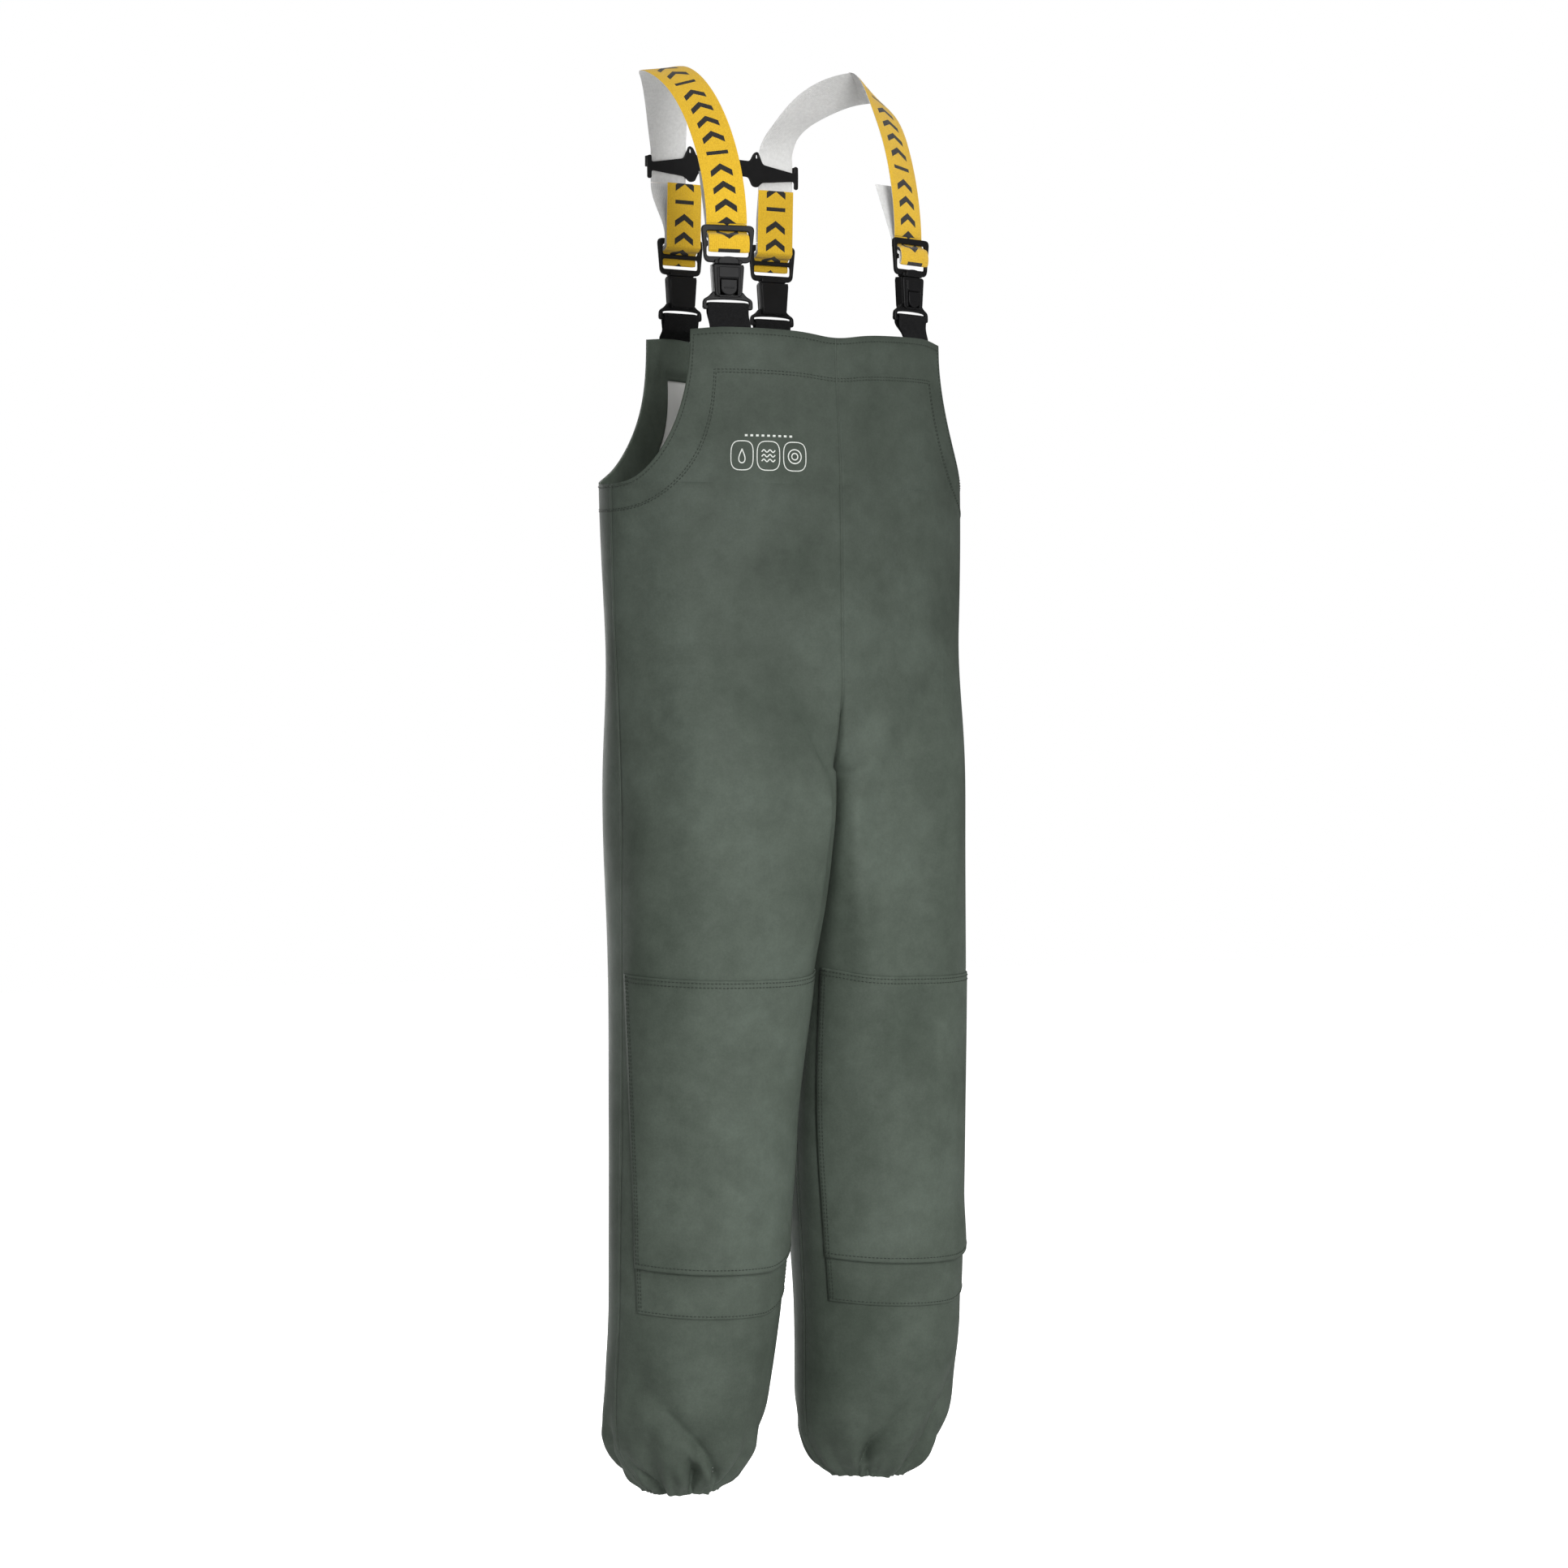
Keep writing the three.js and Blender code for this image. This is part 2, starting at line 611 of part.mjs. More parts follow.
/** The lower half of a clip, with its slotted loop and the cavity for the tongue and the tab. */
function housingGeometry() {
  const half = HOUSING_WIDTH / 2;
  const waist = half - 2.5;
  const body = [[-waist, housingBottom], [waist, housingBottom], [half, housingTop], [-half, housingTop]];
  const loop = [
    [-loopHalfWidth, barBottom],
    [loopHalfWidth, barBottom],
    [loopHalfWidth, slotTop + 1],
    [waist, housingBottom + 4],
    [-waist, housingBottom + 4],
    [-loopHalfWidth, slotTop + 1],
  ];
  const loopShape = roundedOutline(loop, 3);
  loopShape.holes.push(roundedOutline(rectangle(slotHalfWidth, barTop, slotTop), 1.5, new THREE.Path()));
  const solid = plate(roundedOutline(body, 2.5), -HOUSING_BACK, HOUSING_FRONT)
    .add(plate(loopShape, -halfFrame, halfFrame))
    .add(block(TONGUE_WIDTH / 2, tabTop + 2, housingTop - 3, HOUSING_FRONT - 1, HOUSING_FRONT + 1));
  const tabHalf = TAB_WIDTH / 2 + FIT;
  const tongueSlot = block(
    TONGUE_WIDTH / 2 + FIT,
    tongueEnd - 1,
    housingTop + 5,
    -tongueHalf - FIT,
    tongueHalf + FIT,
  );
  const tabWell = block(tabHalf, tabBottom - FIT, tabTop + FIT, cavityBack, HOUSING_FRONT + 5);
  const heelWell = block(tabHalf, tabBottom - FIT, forkTop + FIT, cavityBack, 0);
  return toGeometry(solid.subtract(tongueSlot).subtract(tabWell).subtract(heelWell));
}

/** The release tab: a half-round button, a web under the tongue and a heel with the catch behind it. */
function tabGeometry() {
  const half = TAB_WIDTH / 2;
  const face = new THREE.Shape();
  face.moveTo(-half, tabTop);
  face.lineTo(-half, tabBottom + half * 0.8);
  face.quadraticCurveTo(-half, tabBottom, 0, tabBottom);
  face.quadraticCurveTo(half, tabBottom, half, tabBottom + half * 0.8);
  face.lineTo(half, tabTop);
  return joined([
    plate(face, tabFaceBack, tabFaceBack + TAB_PLATE),
    block(half - 1, tabWebTop - 3, tabWebTop, tabHeelBack, tabFaceBack + 0.5),
    block(half - 1, tabWebTop - 3, forkTop, tabHeelBack, tabHeelFront),
    block(FORK_HALF_WIDTH - FIT, tongueEnd + 7, forkTop - 1, tabHeelFront - 0.5, 0),
  ]);
}

/** A flat band along a route: each section has its place, its width direction and maybe its heading. */
function band(sections, width, thickness) {
  const positions = [];
  const indices = [];
  const last = sections.length - 1;
  sections.forEach(({ point, across, heading }, i) => {
    const ahead = sections[Math.min(i + 1, last)].point;
    const behind = sections[Math.max(i - 1, 0)].point;
    const along = (heading ?? ahead.clone().sub(behind)).clone().normalize();
    const side = across.clone().addScaledVector(along, -across.dot(along)).normalize();
    const up = along.clone().cross(side).normalize();
    for (const [i1, i2] of [[-1, -1], [1, -1], [1, 1], [-1, 1]]) {
      const corner = point.clone().addScaledVector(side, i1 * width / 2);
      positions.push(...corner.addScaledVector(up, i2 * thickness / 2).toArray());
    }
  });
  for (let i = 0; i < last; i += 1) {
    for (let k = 0; k < 4; k += 1) {
      const [a, b] = [4 * i + k, 4 * i + (k + 1) % 4];
      indices.push(a, b, b + 4, a, b + 4, a + 4);
    }
  }
  const end = 4 * last;
  indices.push(0, 2, 1, 0, 3, 2, end, end + 1, end + 2, end, end + 2, end + 3);
  const geometry = new THREE.BufferGeometry();
  geometry.setAttribute('position', new THREE.Float32BufferAttribute(positions, 3));
  geometry.setIndex(indices);
  return facingOutward(geometry);
}

/** A band in a clip's own plane through points of [outwards, height], smoothed into a curve. */
function clipBand(points) {
  const curve = new THREE.CatmullRomCurve3(
    points.map(([outwards, height]) => new THREE.Vector3(0, outwards, height)),
    false,
    'centripetal',
  );
  const across = new THREE.Vector3(1, 0, 0);
  const sections = curve.getPoints(3 * (points.length - 1)).map((point) => ({ point, across }));
  return band(sections, WEBBING_WIDTH, WEBBING);
}

const behindFrame = -halfFrame - FIT - WEBBING / 2 - 0.3;
const behindStrap = behindFrame - WEBBING - FIT;
const overBar = halfFrame + FIT + WEBBING / 2 + 0.2;

/** The strap's turn over the middle bar and its tail, which rises behind the strap. */
function tailGeometry(lean) {
  const window = (MIDDLE_BAR / 2 + frameTop - RAIL) / 2;
  return clipBand([
    [behindFrame, frameTop + CLIP_GAP],
    [behindFrame, frameTop - RAIL + 1.5],
    [behindFrame + 1.2, window + 3.4],
    [0, window],
    [overBar - 0.6, window - 4.4],
    [overBar, 0],
    [overBar - 0.6, -window + 4.4],
    [0, -window - 0.6],
    [behindFrame - 0.8, -window - 2.6],
    [behindStrap - TAIL_SLACK + 0.2, -window + 1],
    [behindStrap - TAIL_SLACK, 0],
    [behindStrap - TAIL_SLACK, frameTop - 8],
    [behindStrap - TAIL_SLACK - lean * 0.36, frameTop + TAIL_RISE * 0.34],
    [behindStrap - TAIL_SLACK - lean, frameTop + TAIL_RISE],
  ]);
}

/** The doubled webbing that is sewn into the bib and turns over the loop's bar. */
function stubGeometry(shown) {
  const layer = WEBBING / 2 + FIT;
  const bend = halfFrame + FIT + WEBBING / 2;
  const low = barBottom - shown - STUB_SEWN;
  return clipBand([
    [-layer, low],
    [-layer, barBottom - 19],
    [-layer, barBottom - 13],
    [-bend, barBottom - 1],
    [-bend, barTop + 0.5],
    [0, barTop + FIT + WEBBING / 2 + 1.3],
    [bend, barTop + 0.5],
    [bend, barBottom - 1],
    [layer, barBottom - 13],
    [layer, barBottom - 19],
    [layer, low],
  ]);
}

const clips = {};

/** Where a clip stands so that its flat webbing clears the curved facing all the way across. */
function clipPlace(face, side, share, across, outward) {
  const facingInside = CLOTH + FACING_GAP + FACING;
  const base = layerPoint(face, side, share, bibTop, facingInside);
  let room = Infinity;
  for (const level of [bibTop, bibTop - STUB_SEWN]) {
    for (let i = -10; i <= 10; i += 1) {
      const near = layerPoint(face, side, share + 0.015 * i, level, facingInside).sub(base);
      if (Math.abs(near.dot(across)) < WEBBING_WIDTH / 2 + STUB_CLEARANCE) {
        room = Math.min(room, near.dot(outward));
      }
    }
  }
  return base.addScaledVector(outward, room - WEBBING - FIT - STUB_CLEARANCE);
}

/** One clip: its housing, webbing and tab on the bib, and its frame and tail on the strap. */
function clip(face, side) {
  const share = face === FRONT ? FRONT_CLIP_SHARE : BACK_CLIP_SHARE;
  const shown = face === FRONT ? FRONT_STUB_SHOWN : BACK_STUB_SHOWN;
  const lean = face === FRONT ? FRONT_TAIL_LEAN : BACK_TAIL_LEAN;
  const clipLevel = clipLevels[face.name];
  const yaw = THREE.MathUtils.degToRad(face === FRONT ? FRONT_CLIP_YAW : BACK_CLIP_YAW);
  const turn = face === FRONT ? Math.PI + yaw * side.sign : -yaw * side.sign;
  const across = new THREE.Vector3(Math.cos(turn), Math.sin(turn), 0);
  const outward = new THREE.Vector3(-Math.sin(turn), Math.cos(turn), 0);
  const place = clipPlace(face, side, share, across, outward);
  place.z = clipLevel;
  const group = new THREE.Group();
  group.position.copy(place);
  group.rotation.z = turn;
  garment.add(group);
  const key = `${face.name}_${side.name}`;
  addPart(`webbing_stub_${key}`, stubGeometry(shown), webbingMaterial, group);
  addPart(`clip_housing_${key}`, housingGeometry(), plasticMaterial, group);
  addPart(`release_tab_${key}`, tabGeometry(), plasticMaterial, group);
  addPart(`adjuster_${key}`, adjusterGeometry(), plasticMaterial, group);
  addPart(`strap_tail_${key}`, tailGeometry(lean), strapMaterial, group);
  const strapEnd = place.clone().addScaledVector(outward, behindFrame);
  strapEnd.z = clipLevel + frameTop + CLIP_GAP + STRAP_CUT;
  clips[key] = { strapEnd, yaw: face === FRONT ? yaw : -yaw };
}

const yokeLevel = -YOKE_DROP;
const yokeStrapTop = yokeLevel + 14;
const yokeStrapBottom = yokeLevel - YOKE_HALF_HEIGHT - 3;
const frontSplit = clipLevels.front + FRONT_RUN;

const UPWARD = new THREE.Vector3(0, 0, 1);
const DOWNWARD = new THREE.Vector3(0, 0, -1);

/** The level of the strap where it lies against the yoke. */
function yokeDepthOf(side) {
  return clips[`back_${side.name}`].strapEnd.y + YOKE_SETBACK;
}

/** One place on a strap, with the strap's width turned by yaw from straight across. */
function strapSection(side, x, y, z, yaw, heading) {
  return {
    point: new THREE.Vector3(x * side.sign, y, z),
    across: new THREE.Vector3(Math.cos(yaw) * side.sign, Math.sin(yaw), 0),
    heading,
  };
}

/** The strap between a low end and the shoulder, as a quarter of a rounded curve. */
function shoulderCurve(side, low, steps, falling) {
  const power = 2 / STRAP_ROUNDNESS;
  const sections = [];
  for (let i = 0; i <= steps; i += 1) {
    const angle = (falling ? 1 - i / steps : i / steps) * Math.PI / 2;
    const rise = Math.sin(angle) ** power;
    const level = 1 - Math.cos(angle) ** power;
    const x = THREE.MathUtils.lerp(low.x, SHOULDER_HALF_SPAN, level);
    const y = THREE.MathUtils.lerp(low.y, SHOULDER_SETBACK, level);
    const z = THREE.MathUtils.lerp(low.z, WEBBING / 2, rise);
    const yaw = THREE.MathUtils.lerp(low.yaw, SHOULDER_YAW, rise);
    const atEnd = falling ? i === steps : i === 0;
    const vertical = falling ? DOWNWARD : UPWARD;
    sections.push(strapSection(side, x, y, z, yaw, atEnd ? vertical : undefined));
  }
  return sections;
}

/** The strap between the yoke and the back clip, eased from one to the other. */
function backCurve(side, steps) {
  const end = clips[`back_${side.name}`];
  const sections = [];
  for (let i = 0; i <= steps; i += 1) {
    const ease = THREE.MathUtils.smoothstep(i / steps, 0, 1);
    const x = THREE.MathUtils.lerp(YOKE_STRAP_OFFSET, end.strapEnd.x * side.sign, ease);
    const y = THREE.MathUtils.lerp(yokeDepthOf(side), end.strapEnd.y, ease);
    const z = THREE.MathUtils.lerp(yokeStrapBottom - STRAP_CUT, end.strapEnd.z, i / steps);
    const heading = i === 0 || i === steps ? DOWNWARD : undefined;
    sections.push(strapSection(side, x, y, z, end.yaw * ease, heading));
  }
  return sections;
}

/** A section part of the way between two others, headed from the one to the other. */
function sectionBetween(from, to, level) {
  const t = (level - from.point.z) / (to.point.z - from.point.z);
  return {
    point: from.point.clone().lerp(to.point, t),
    across: from.across.clone().lerp(to.across, t).normalize(),
    heading: to.point.clone().sub(from.point),
  };
}

/** The three runs of one strap: to the front clip, over the shoulder, and to the back clip. */
function strap(side) {
  const front = clips[`front_${side.name}`];
  const depth = yokeDepthOf(side);
  const low = { x: front.strapEnd.x * side.sign, y: front.strapEnd.y, z: front.strapEnd.z, yaw: front.yaw };
  const rising = shoulderCurve(side, low, 18, false);
  const crossing = rising.findIndex((section) => section.point.z > frontSplit);
  const [below, above] = [rising[crossing - 1], rising[crossing]];
  const lower = [...rising.slice(0, crossing), sectionBetween(below, above, frontSplit - STRAP_CUT)];
  const upper = [sectionBetween(below, above, frontSplit), ...rising.slice(crossing, -1)];
  const yokeTop = { x: YOKE_STRAP_OFFSET, y: depth, z: yokeStrapTop, yaw: 0 };
  const falling = shoulderCurve(side, yokeTop, 14, true);
  const yokeEnd = strapSection(side, YOKE_STRAP_OFFSET, depth, yokeStrapBottom, 0, DOWNWARD);
  const runs = {
    front: lower,
    shoulder: [...upper, ...falling, yokeEnd],
    back: backCurve(side, 6),
  };
  for (const [name, sections] of Object.entries(runs)) {
    addPart(`strap_${name}_${side.name}`, band(sections, WEBBING_WIDTH, WEBBING), strapMaterial);
  }
}

/** The plate that ties both straps together behind the shoulders, with a lip over each strap edge. */
function yoke() {
  const edge = WEBBING_WIDTH / 2 + FIT + 0.4;
  const inside = YOKE_STRAP_OFFSET - edge;
  const outside = YOKE_STRAP_OFFSET + edge;
  const half = [
    [0, 10],
    [inside - YOKE_POST - 7, 9],
    [inside - YOKE_POST, YOKE_HALF_HEIGHT],
    [inside - 1, YOKE_HALF_HEIGHT],
    [inside + 5, 6],
    [outside, -1],
    [outside, 7],
    [outside + YOKE_POST, 7],
    [outside + YOKE_POST, -19],
    [outside, -19],
    [outside, -10],
    [inside + 4, -14],
    [inside - 2, -YOKE_HALF_HEIGHT],
    [inside - YOKE_POST - 5, -YOKE_HALF_HEIGHT + 1],
    [inside - YOKE_POST - 9, -9],
    [0, -8],
  ];
  const outline = new THREE.Shape();
  half.forEach(([x, z], i) => (i === 0 ? outline.moveTo(x, z) : outline.lineTo(x, z)));
  for (let i = half.length - 2; i > 0; i -= 1) outline.lineTo(-half[i][0], half[i][1]);
  const face = -WEBBING / 2 - FIT;
  const lip = WEBBING / 2 + FIT;
  const lipHalf = YOKE_LIP_HALF_HEIGHT;
  const solids = [plate(outline, face - YOKE_THICKNESS, face)];
  for (const sign of [-1, 1]) {
    const inner = sign * (inside - YOKE_POST / 2);
    const outer = sign * (outside + YOKE_POST / 2);
    for (const centre of [inner, outer]) {
      solids.push(block(YOKE_POST / 2, -lipHalf, lipHalf, face - 1, lip + YOKE_LIP, centre));
    }
    for (const centre of [sign * inside, sign * outside]) {
      solids.push(block(YOKE_POST, -lipHalf, lipHalf, lip, lip + YOKE_LIP, centre));
    }
  }
  const mesh = addPart('yoke', joined(solids), plasticMaterial);
  mesh.position.set(0, yokeDepthOf(RIGHT), yokeLevel);
}

for (const side of [RIGHT, LEFT]) {
  for (const face of [FRONT, BACK]) {
    panel(face, side);
    facing(face, side);
    clip(face, side);
  }
  kneePocket(side);
  ankleHem(side);
  strap(side);
}
yoke();

export default garment;
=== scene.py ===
"""Bib-and-brace waterproof overalls: cloth, facings, stitching, straps, clips and studio.

Metres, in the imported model's frame: +Z up, the wearer faces -Y, the wearer's right is -X,
and the origin is the line under the straps at the shoulders.
"""
import math

import bpy
import numpy as np
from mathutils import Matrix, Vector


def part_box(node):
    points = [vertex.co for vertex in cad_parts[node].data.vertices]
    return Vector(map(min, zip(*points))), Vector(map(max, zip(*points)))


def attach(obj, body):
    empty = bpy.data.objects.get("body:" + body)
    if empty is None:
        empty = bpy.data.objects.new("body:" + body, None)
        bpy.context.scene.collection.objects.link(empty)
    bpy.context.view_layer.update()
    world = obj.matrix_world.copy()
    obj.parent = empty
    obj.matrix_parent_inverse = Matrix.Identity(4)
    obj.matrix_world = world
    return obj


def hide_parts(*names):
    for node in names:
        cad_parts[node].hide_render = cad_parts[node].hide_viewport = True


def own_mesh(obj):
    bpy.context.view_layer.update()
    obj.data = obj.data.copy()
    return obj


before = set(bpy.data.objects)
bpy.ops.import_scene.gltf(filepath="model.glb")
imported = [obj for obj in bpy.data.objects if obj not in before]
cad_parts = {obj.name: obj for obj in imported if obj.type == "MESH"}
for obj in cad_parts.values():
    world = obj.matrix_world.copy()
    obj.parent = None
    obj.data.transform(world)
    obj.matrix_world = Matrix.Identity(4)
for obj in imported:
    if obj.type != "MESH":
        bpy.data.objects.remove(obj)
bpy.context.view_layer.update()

FACES = ("front", "back")
SIDES = ("right", "left")
SIGN = {"right": -1.0, "left": 1.0, "front": -1.0, "back": 1.0}


def low(node):
    """The lowest corner of a CAD node."""
    return np.array(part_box(node)[0])


def high(node):
    """The highest corner of a CAD node."""
    return np.array(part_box(node)[1])


# ---------------------------------------------------------------- driving sizes

SETBACK = 0.050
CLOTH = 0.0010
FACING = 0.0010
FACING_TOP = 0.045
FACING_SIDE = 0.11
BIB_SHARE = {"front": 0.575, "back": 0.335}
STUB_SHARE = {"front": 0.405, "back": 0.195}
STUB_SEWN = 0.033
ARMHOLE_DEPTH = 0.166
ARMHOLE_SQUARENESS = 2.7
CROTCH_DROP = 0.472
CROTCH_CURVE = 0.105
WEBBING_WIDTH = 0.045
WEBBING = 0.0016

BIB_TOP = high("panel_front_right")[2]
ARMHOLE_BOTTOM = BIB_TOP - ARMHOLE_DEPTH
CROTCH = BIB_TOP - CROTCH_DROP
RISE_START = CROTCH + CROTCH_CURVE
PATCH_TOP = high("knee_patch_right")[2]
PATCH_BOTTOM = low("knee_patch_right")[2]
BAND_BOTTOM = low("knee_band_right")[2]
HEM = low("hem_casing_right")[2]
HEM_CENTRE = (low("hem_casing_left") + high("hem_casing_left")) / 2

# ---------------------------------------------------------------- camera and studio


CAMERA_AIM = np.array([-0.002, -SETBACK, -0.770])
CAMERA_TURN = math.radians(-33)
CAMERA_DISTANCE = 5.1
CAMERA_LENS = 108
CAMERA_SENSOR = 36
FLOOR_DROP = 0.12
FLOOR_REACH = 14.0
BODY_MIDDLE = (0, -SETBACK, (BIB_TOP + HEM) / 2)

# Each light: its place, what it points at, its size and its power.
LIGHTS = {
    "key_light": ((-0.9, -3.9, 0.3), BODY_MIDDLE, 1.4, 104),
    "fill_light": ((1.0, -3.2, -1.35), (0, -SETBACK, -1.2), 1.2, 20),
    "top_light": ((-0.7, -1.5, 2.2), (0, 0, BIB_TOP), 1.4, 32),
    "back_light": ((0.4, 3.6, -0.4), BODY_MIDDLE, 2.4, 90),
}


def add_camera():
    """The camera looks level at the middle of the overalls from in front of the wearer's right."""
    away = np.array([math.sin(CAMERA_TURN), -math.cos(CAMERA_TURN), 0.0])
    data = bpy.data.cameras.new("camera")
    data.lens = CAMERA_LENS
    data.sensor_width = CAMERA_SENSOR
    camera = bpy.data.objects.new("camera", data)
    bpy.context.collection.objects.link(camera)
    camera.location = CAMERA_AIM + CAMERA_DISTANCE * away
    camera.rotation_euler = (math.radians(90), 0, CAMERA_TURN)
    bpy.context.scene.camera = camera


def add_light(name, place, aim, size, power):
    """A soft square area light."""
    data = bpy.data.lights.new(name, "AREA")
    data.shape = "SQUARE"
    data.size = size
    data.energy = power
    light = bpy.data.objects.new(name, data)
    bpy.context.collection.objects.link(light)
    light.location = place
    direction = np.array(aim) - np.array(place)
    yaw = math.atan2(direction[1], direction[0]) - math.pi / 2
    pitch = math.atan2(math.hypot(direction[0], direction[1]), -direction[2])
    light.rotation_euler = (pitch, 0, yaw)


def seen_or_lit(tree, socket, seen, lit):
    """Gives a strength one value where the camera sees it and another where it only gives light."""
    path = tree.nodes.new("ShaderNodeLightPath")
    strength = tree.nodes.new("ShaderNodeMapRange")
    strength.inputs["To Min"].default_value = lit
    strength.inputs["To Max"].default_value = seen
    tree.links.new(path.outputs["Is Camera Ray"], strength.inputs["Value"])
    tree.links.new(strength.outputs["Result"], socket)


def add_studio():
    """A pale floor under the hanging overalls, a pale surround and soft lights."""
    world = bpy.data.worlds.new("surround")
    world.use_nodes = True
    background = world.node_tree.nodes["Background"]
    background.inputs["Color"].default_value = (1, 1, 1, 1)
    seen_or_lit(world.node_tree, background.inputs["Strength"], 1.0, 0.30)
    bpy.context.scene.world = world
    bpy.context.scene.view_settings.view_transform = "Standard"
    for name, (place, aim, size, power) in LIGHTS.items():
        add_light(name, place, aim, size, power)
    floor = bpy.data.meshes.new("floor")
    signs = ((-1, -1), (1, -1), (1, 1), (-1, 1))
    corners = [(x * FLOOR_REACH, y * FLOOR_REACH, HEM - FLOOR_DROP) for x, y in signs]
    floor.from_pydata(corners, [], [(0, 1, 2, 3)])
    plane = bpy.data.objects.new("floor", floor)
    bpy.context.collection.objects.link(plane)
    material = bpy.data.materials.new("floor")
    material.use_nodes = True
    shader = material.node_tree.nodes["Principled BSDF"]
    shader.inputs["Base Color"].default_value = (0.85, 0.85, 0.85, 1)
    shader.inputs["Roughness"].default_value = 0.9
    shader.inputs["Emission Color"].default_value = (1, 1, 1, 1)
    seen_or_lit(material.node_tree, shader.inputs["Emission Strength"], 0.9, 0.05)
    floor.materials.append(material)


add_camera()
add_studio()

# ---------------------------------------------------------------- materials


class Recipe:
    """A small helper that builds one node material with a Principled shader."""

    def __init__(self, name, roughness, **constants):
        self.material = bpy.data.materials.new(name)
        self.material.use_nodes = True
        self.tree = self.material.node_tree
        self.shader = self.tree.nodes["Principled BSDF"]
        self.shader.inputs["Roughness"].default_value = roughness
        for socket, value in constants.items():
            self.shader.inputs[socket.replace("_", " ")].default_value = value
        self.place = self.tree.nodes.new("ShaderNodeTexCoord").outputs["Object"]

    def node(self, kind, **settings):
        """Adds a node and sets its properties and unlinked inputs."""
        made = self.tree.nodes.new(kind)
        for key, value in settings.items():
            if key in made.inputs:
                made.inputs[key].default_value = value
            else:
                setattr(made, key, value)
        return made

    def link(self, source, target):
        self.tree.links.new(source, target)

    def noise(self, scale, detail=3.0, roughness=0.55, vector=None):
        """Noise in the object's own coordinates, as its factor output."""
        made = self.node("ShaderNodeTexNoise", Scale=scale, Detail=detail, Roughness=roughness)
        self.link(vector or self.place, made.inputs["Vector"])
        return made.outputs["Factor"] if "Factor" in made.outputs else made.outputs["Fac"]

    def ramp(self, source, stops):
        """Colours along a factor: stops are (position, colour)."""
        made = self.node("ShaderNodeValToRGB")
        points = made.color_ramp.elements
        while len(points) < len(stops):
            points.new(0.5)
        for point, (position, colour) in zip(points, stops):
            point.position = position
            point.color = (*colour, 1)
        self.link(source, made.inputs["Fac"])
        return made.outputs["Color"]

    def mix(self, factor, first, second, blend="MIX"):
        """Mixes two colours; either may be a socket or an RGB tuple."""
        made = self.node("ShaderNodeMix", data_type="RGBA", blend_type=blend)
        for socket, value in ((made.inputs[0], factor), (made.inputs[6], first), (made.inputs[7], second)):
            if isinstance(value, tuple):
                socket.default_value = (*value, 1)
            elif isinstance(value, (int, float)):
                socket.default_value = value
            else:
                self.link(value, socket)
        return made.outputs[2]

    def math(self, operation, first, second=0.0, third=0.0):
        """One arithmetic step on sockets or numbers."""
        made = self.node("ShaderNodeMath", operation=operation)
        for socket, value in zip(made.inputs, (first, second, third)):
            if isinstance(value, (int, float)):
                socket.default_value = value
            else:
                self.link(value, socket)
        return made.outputs[0]

    def bump(self, height, distance, strength=1.0, under=None):
        """Adds a bump on top of another one and returns its normal."""
        made = self.node("ShaderNodeBump", Strength=strength, Distance=distance)
        self.link(height, made.inputs["Height"])
        if under is not None:
            self.link(under, made.inputs["Normal"])
        return made.outputs["Normal"]

    def finish(self, colour, normal=None, roughness=None):
        """Connects the colour, and maybe a normal and a roughness, and returns the material."""
        self.link(colour, self.shader.inputs["Base Color"])
        if normal is not None:
            self.link(normal, self.shader.inputs["Normal"])
        if roughness is not None:
            self.link(roughness, self.shader.inputs["Roughness"])
        return self.material


def linear(red, green, blue):
    """An 8-bit display colour as scene-linear values."""
    def one(value):
        value /= 255
        return value / 12.92 if value < 0.04045 else ((value + 0.055) / 1.055) ** 2.4
    return tuple(one(value) for value in (red, green, blue))


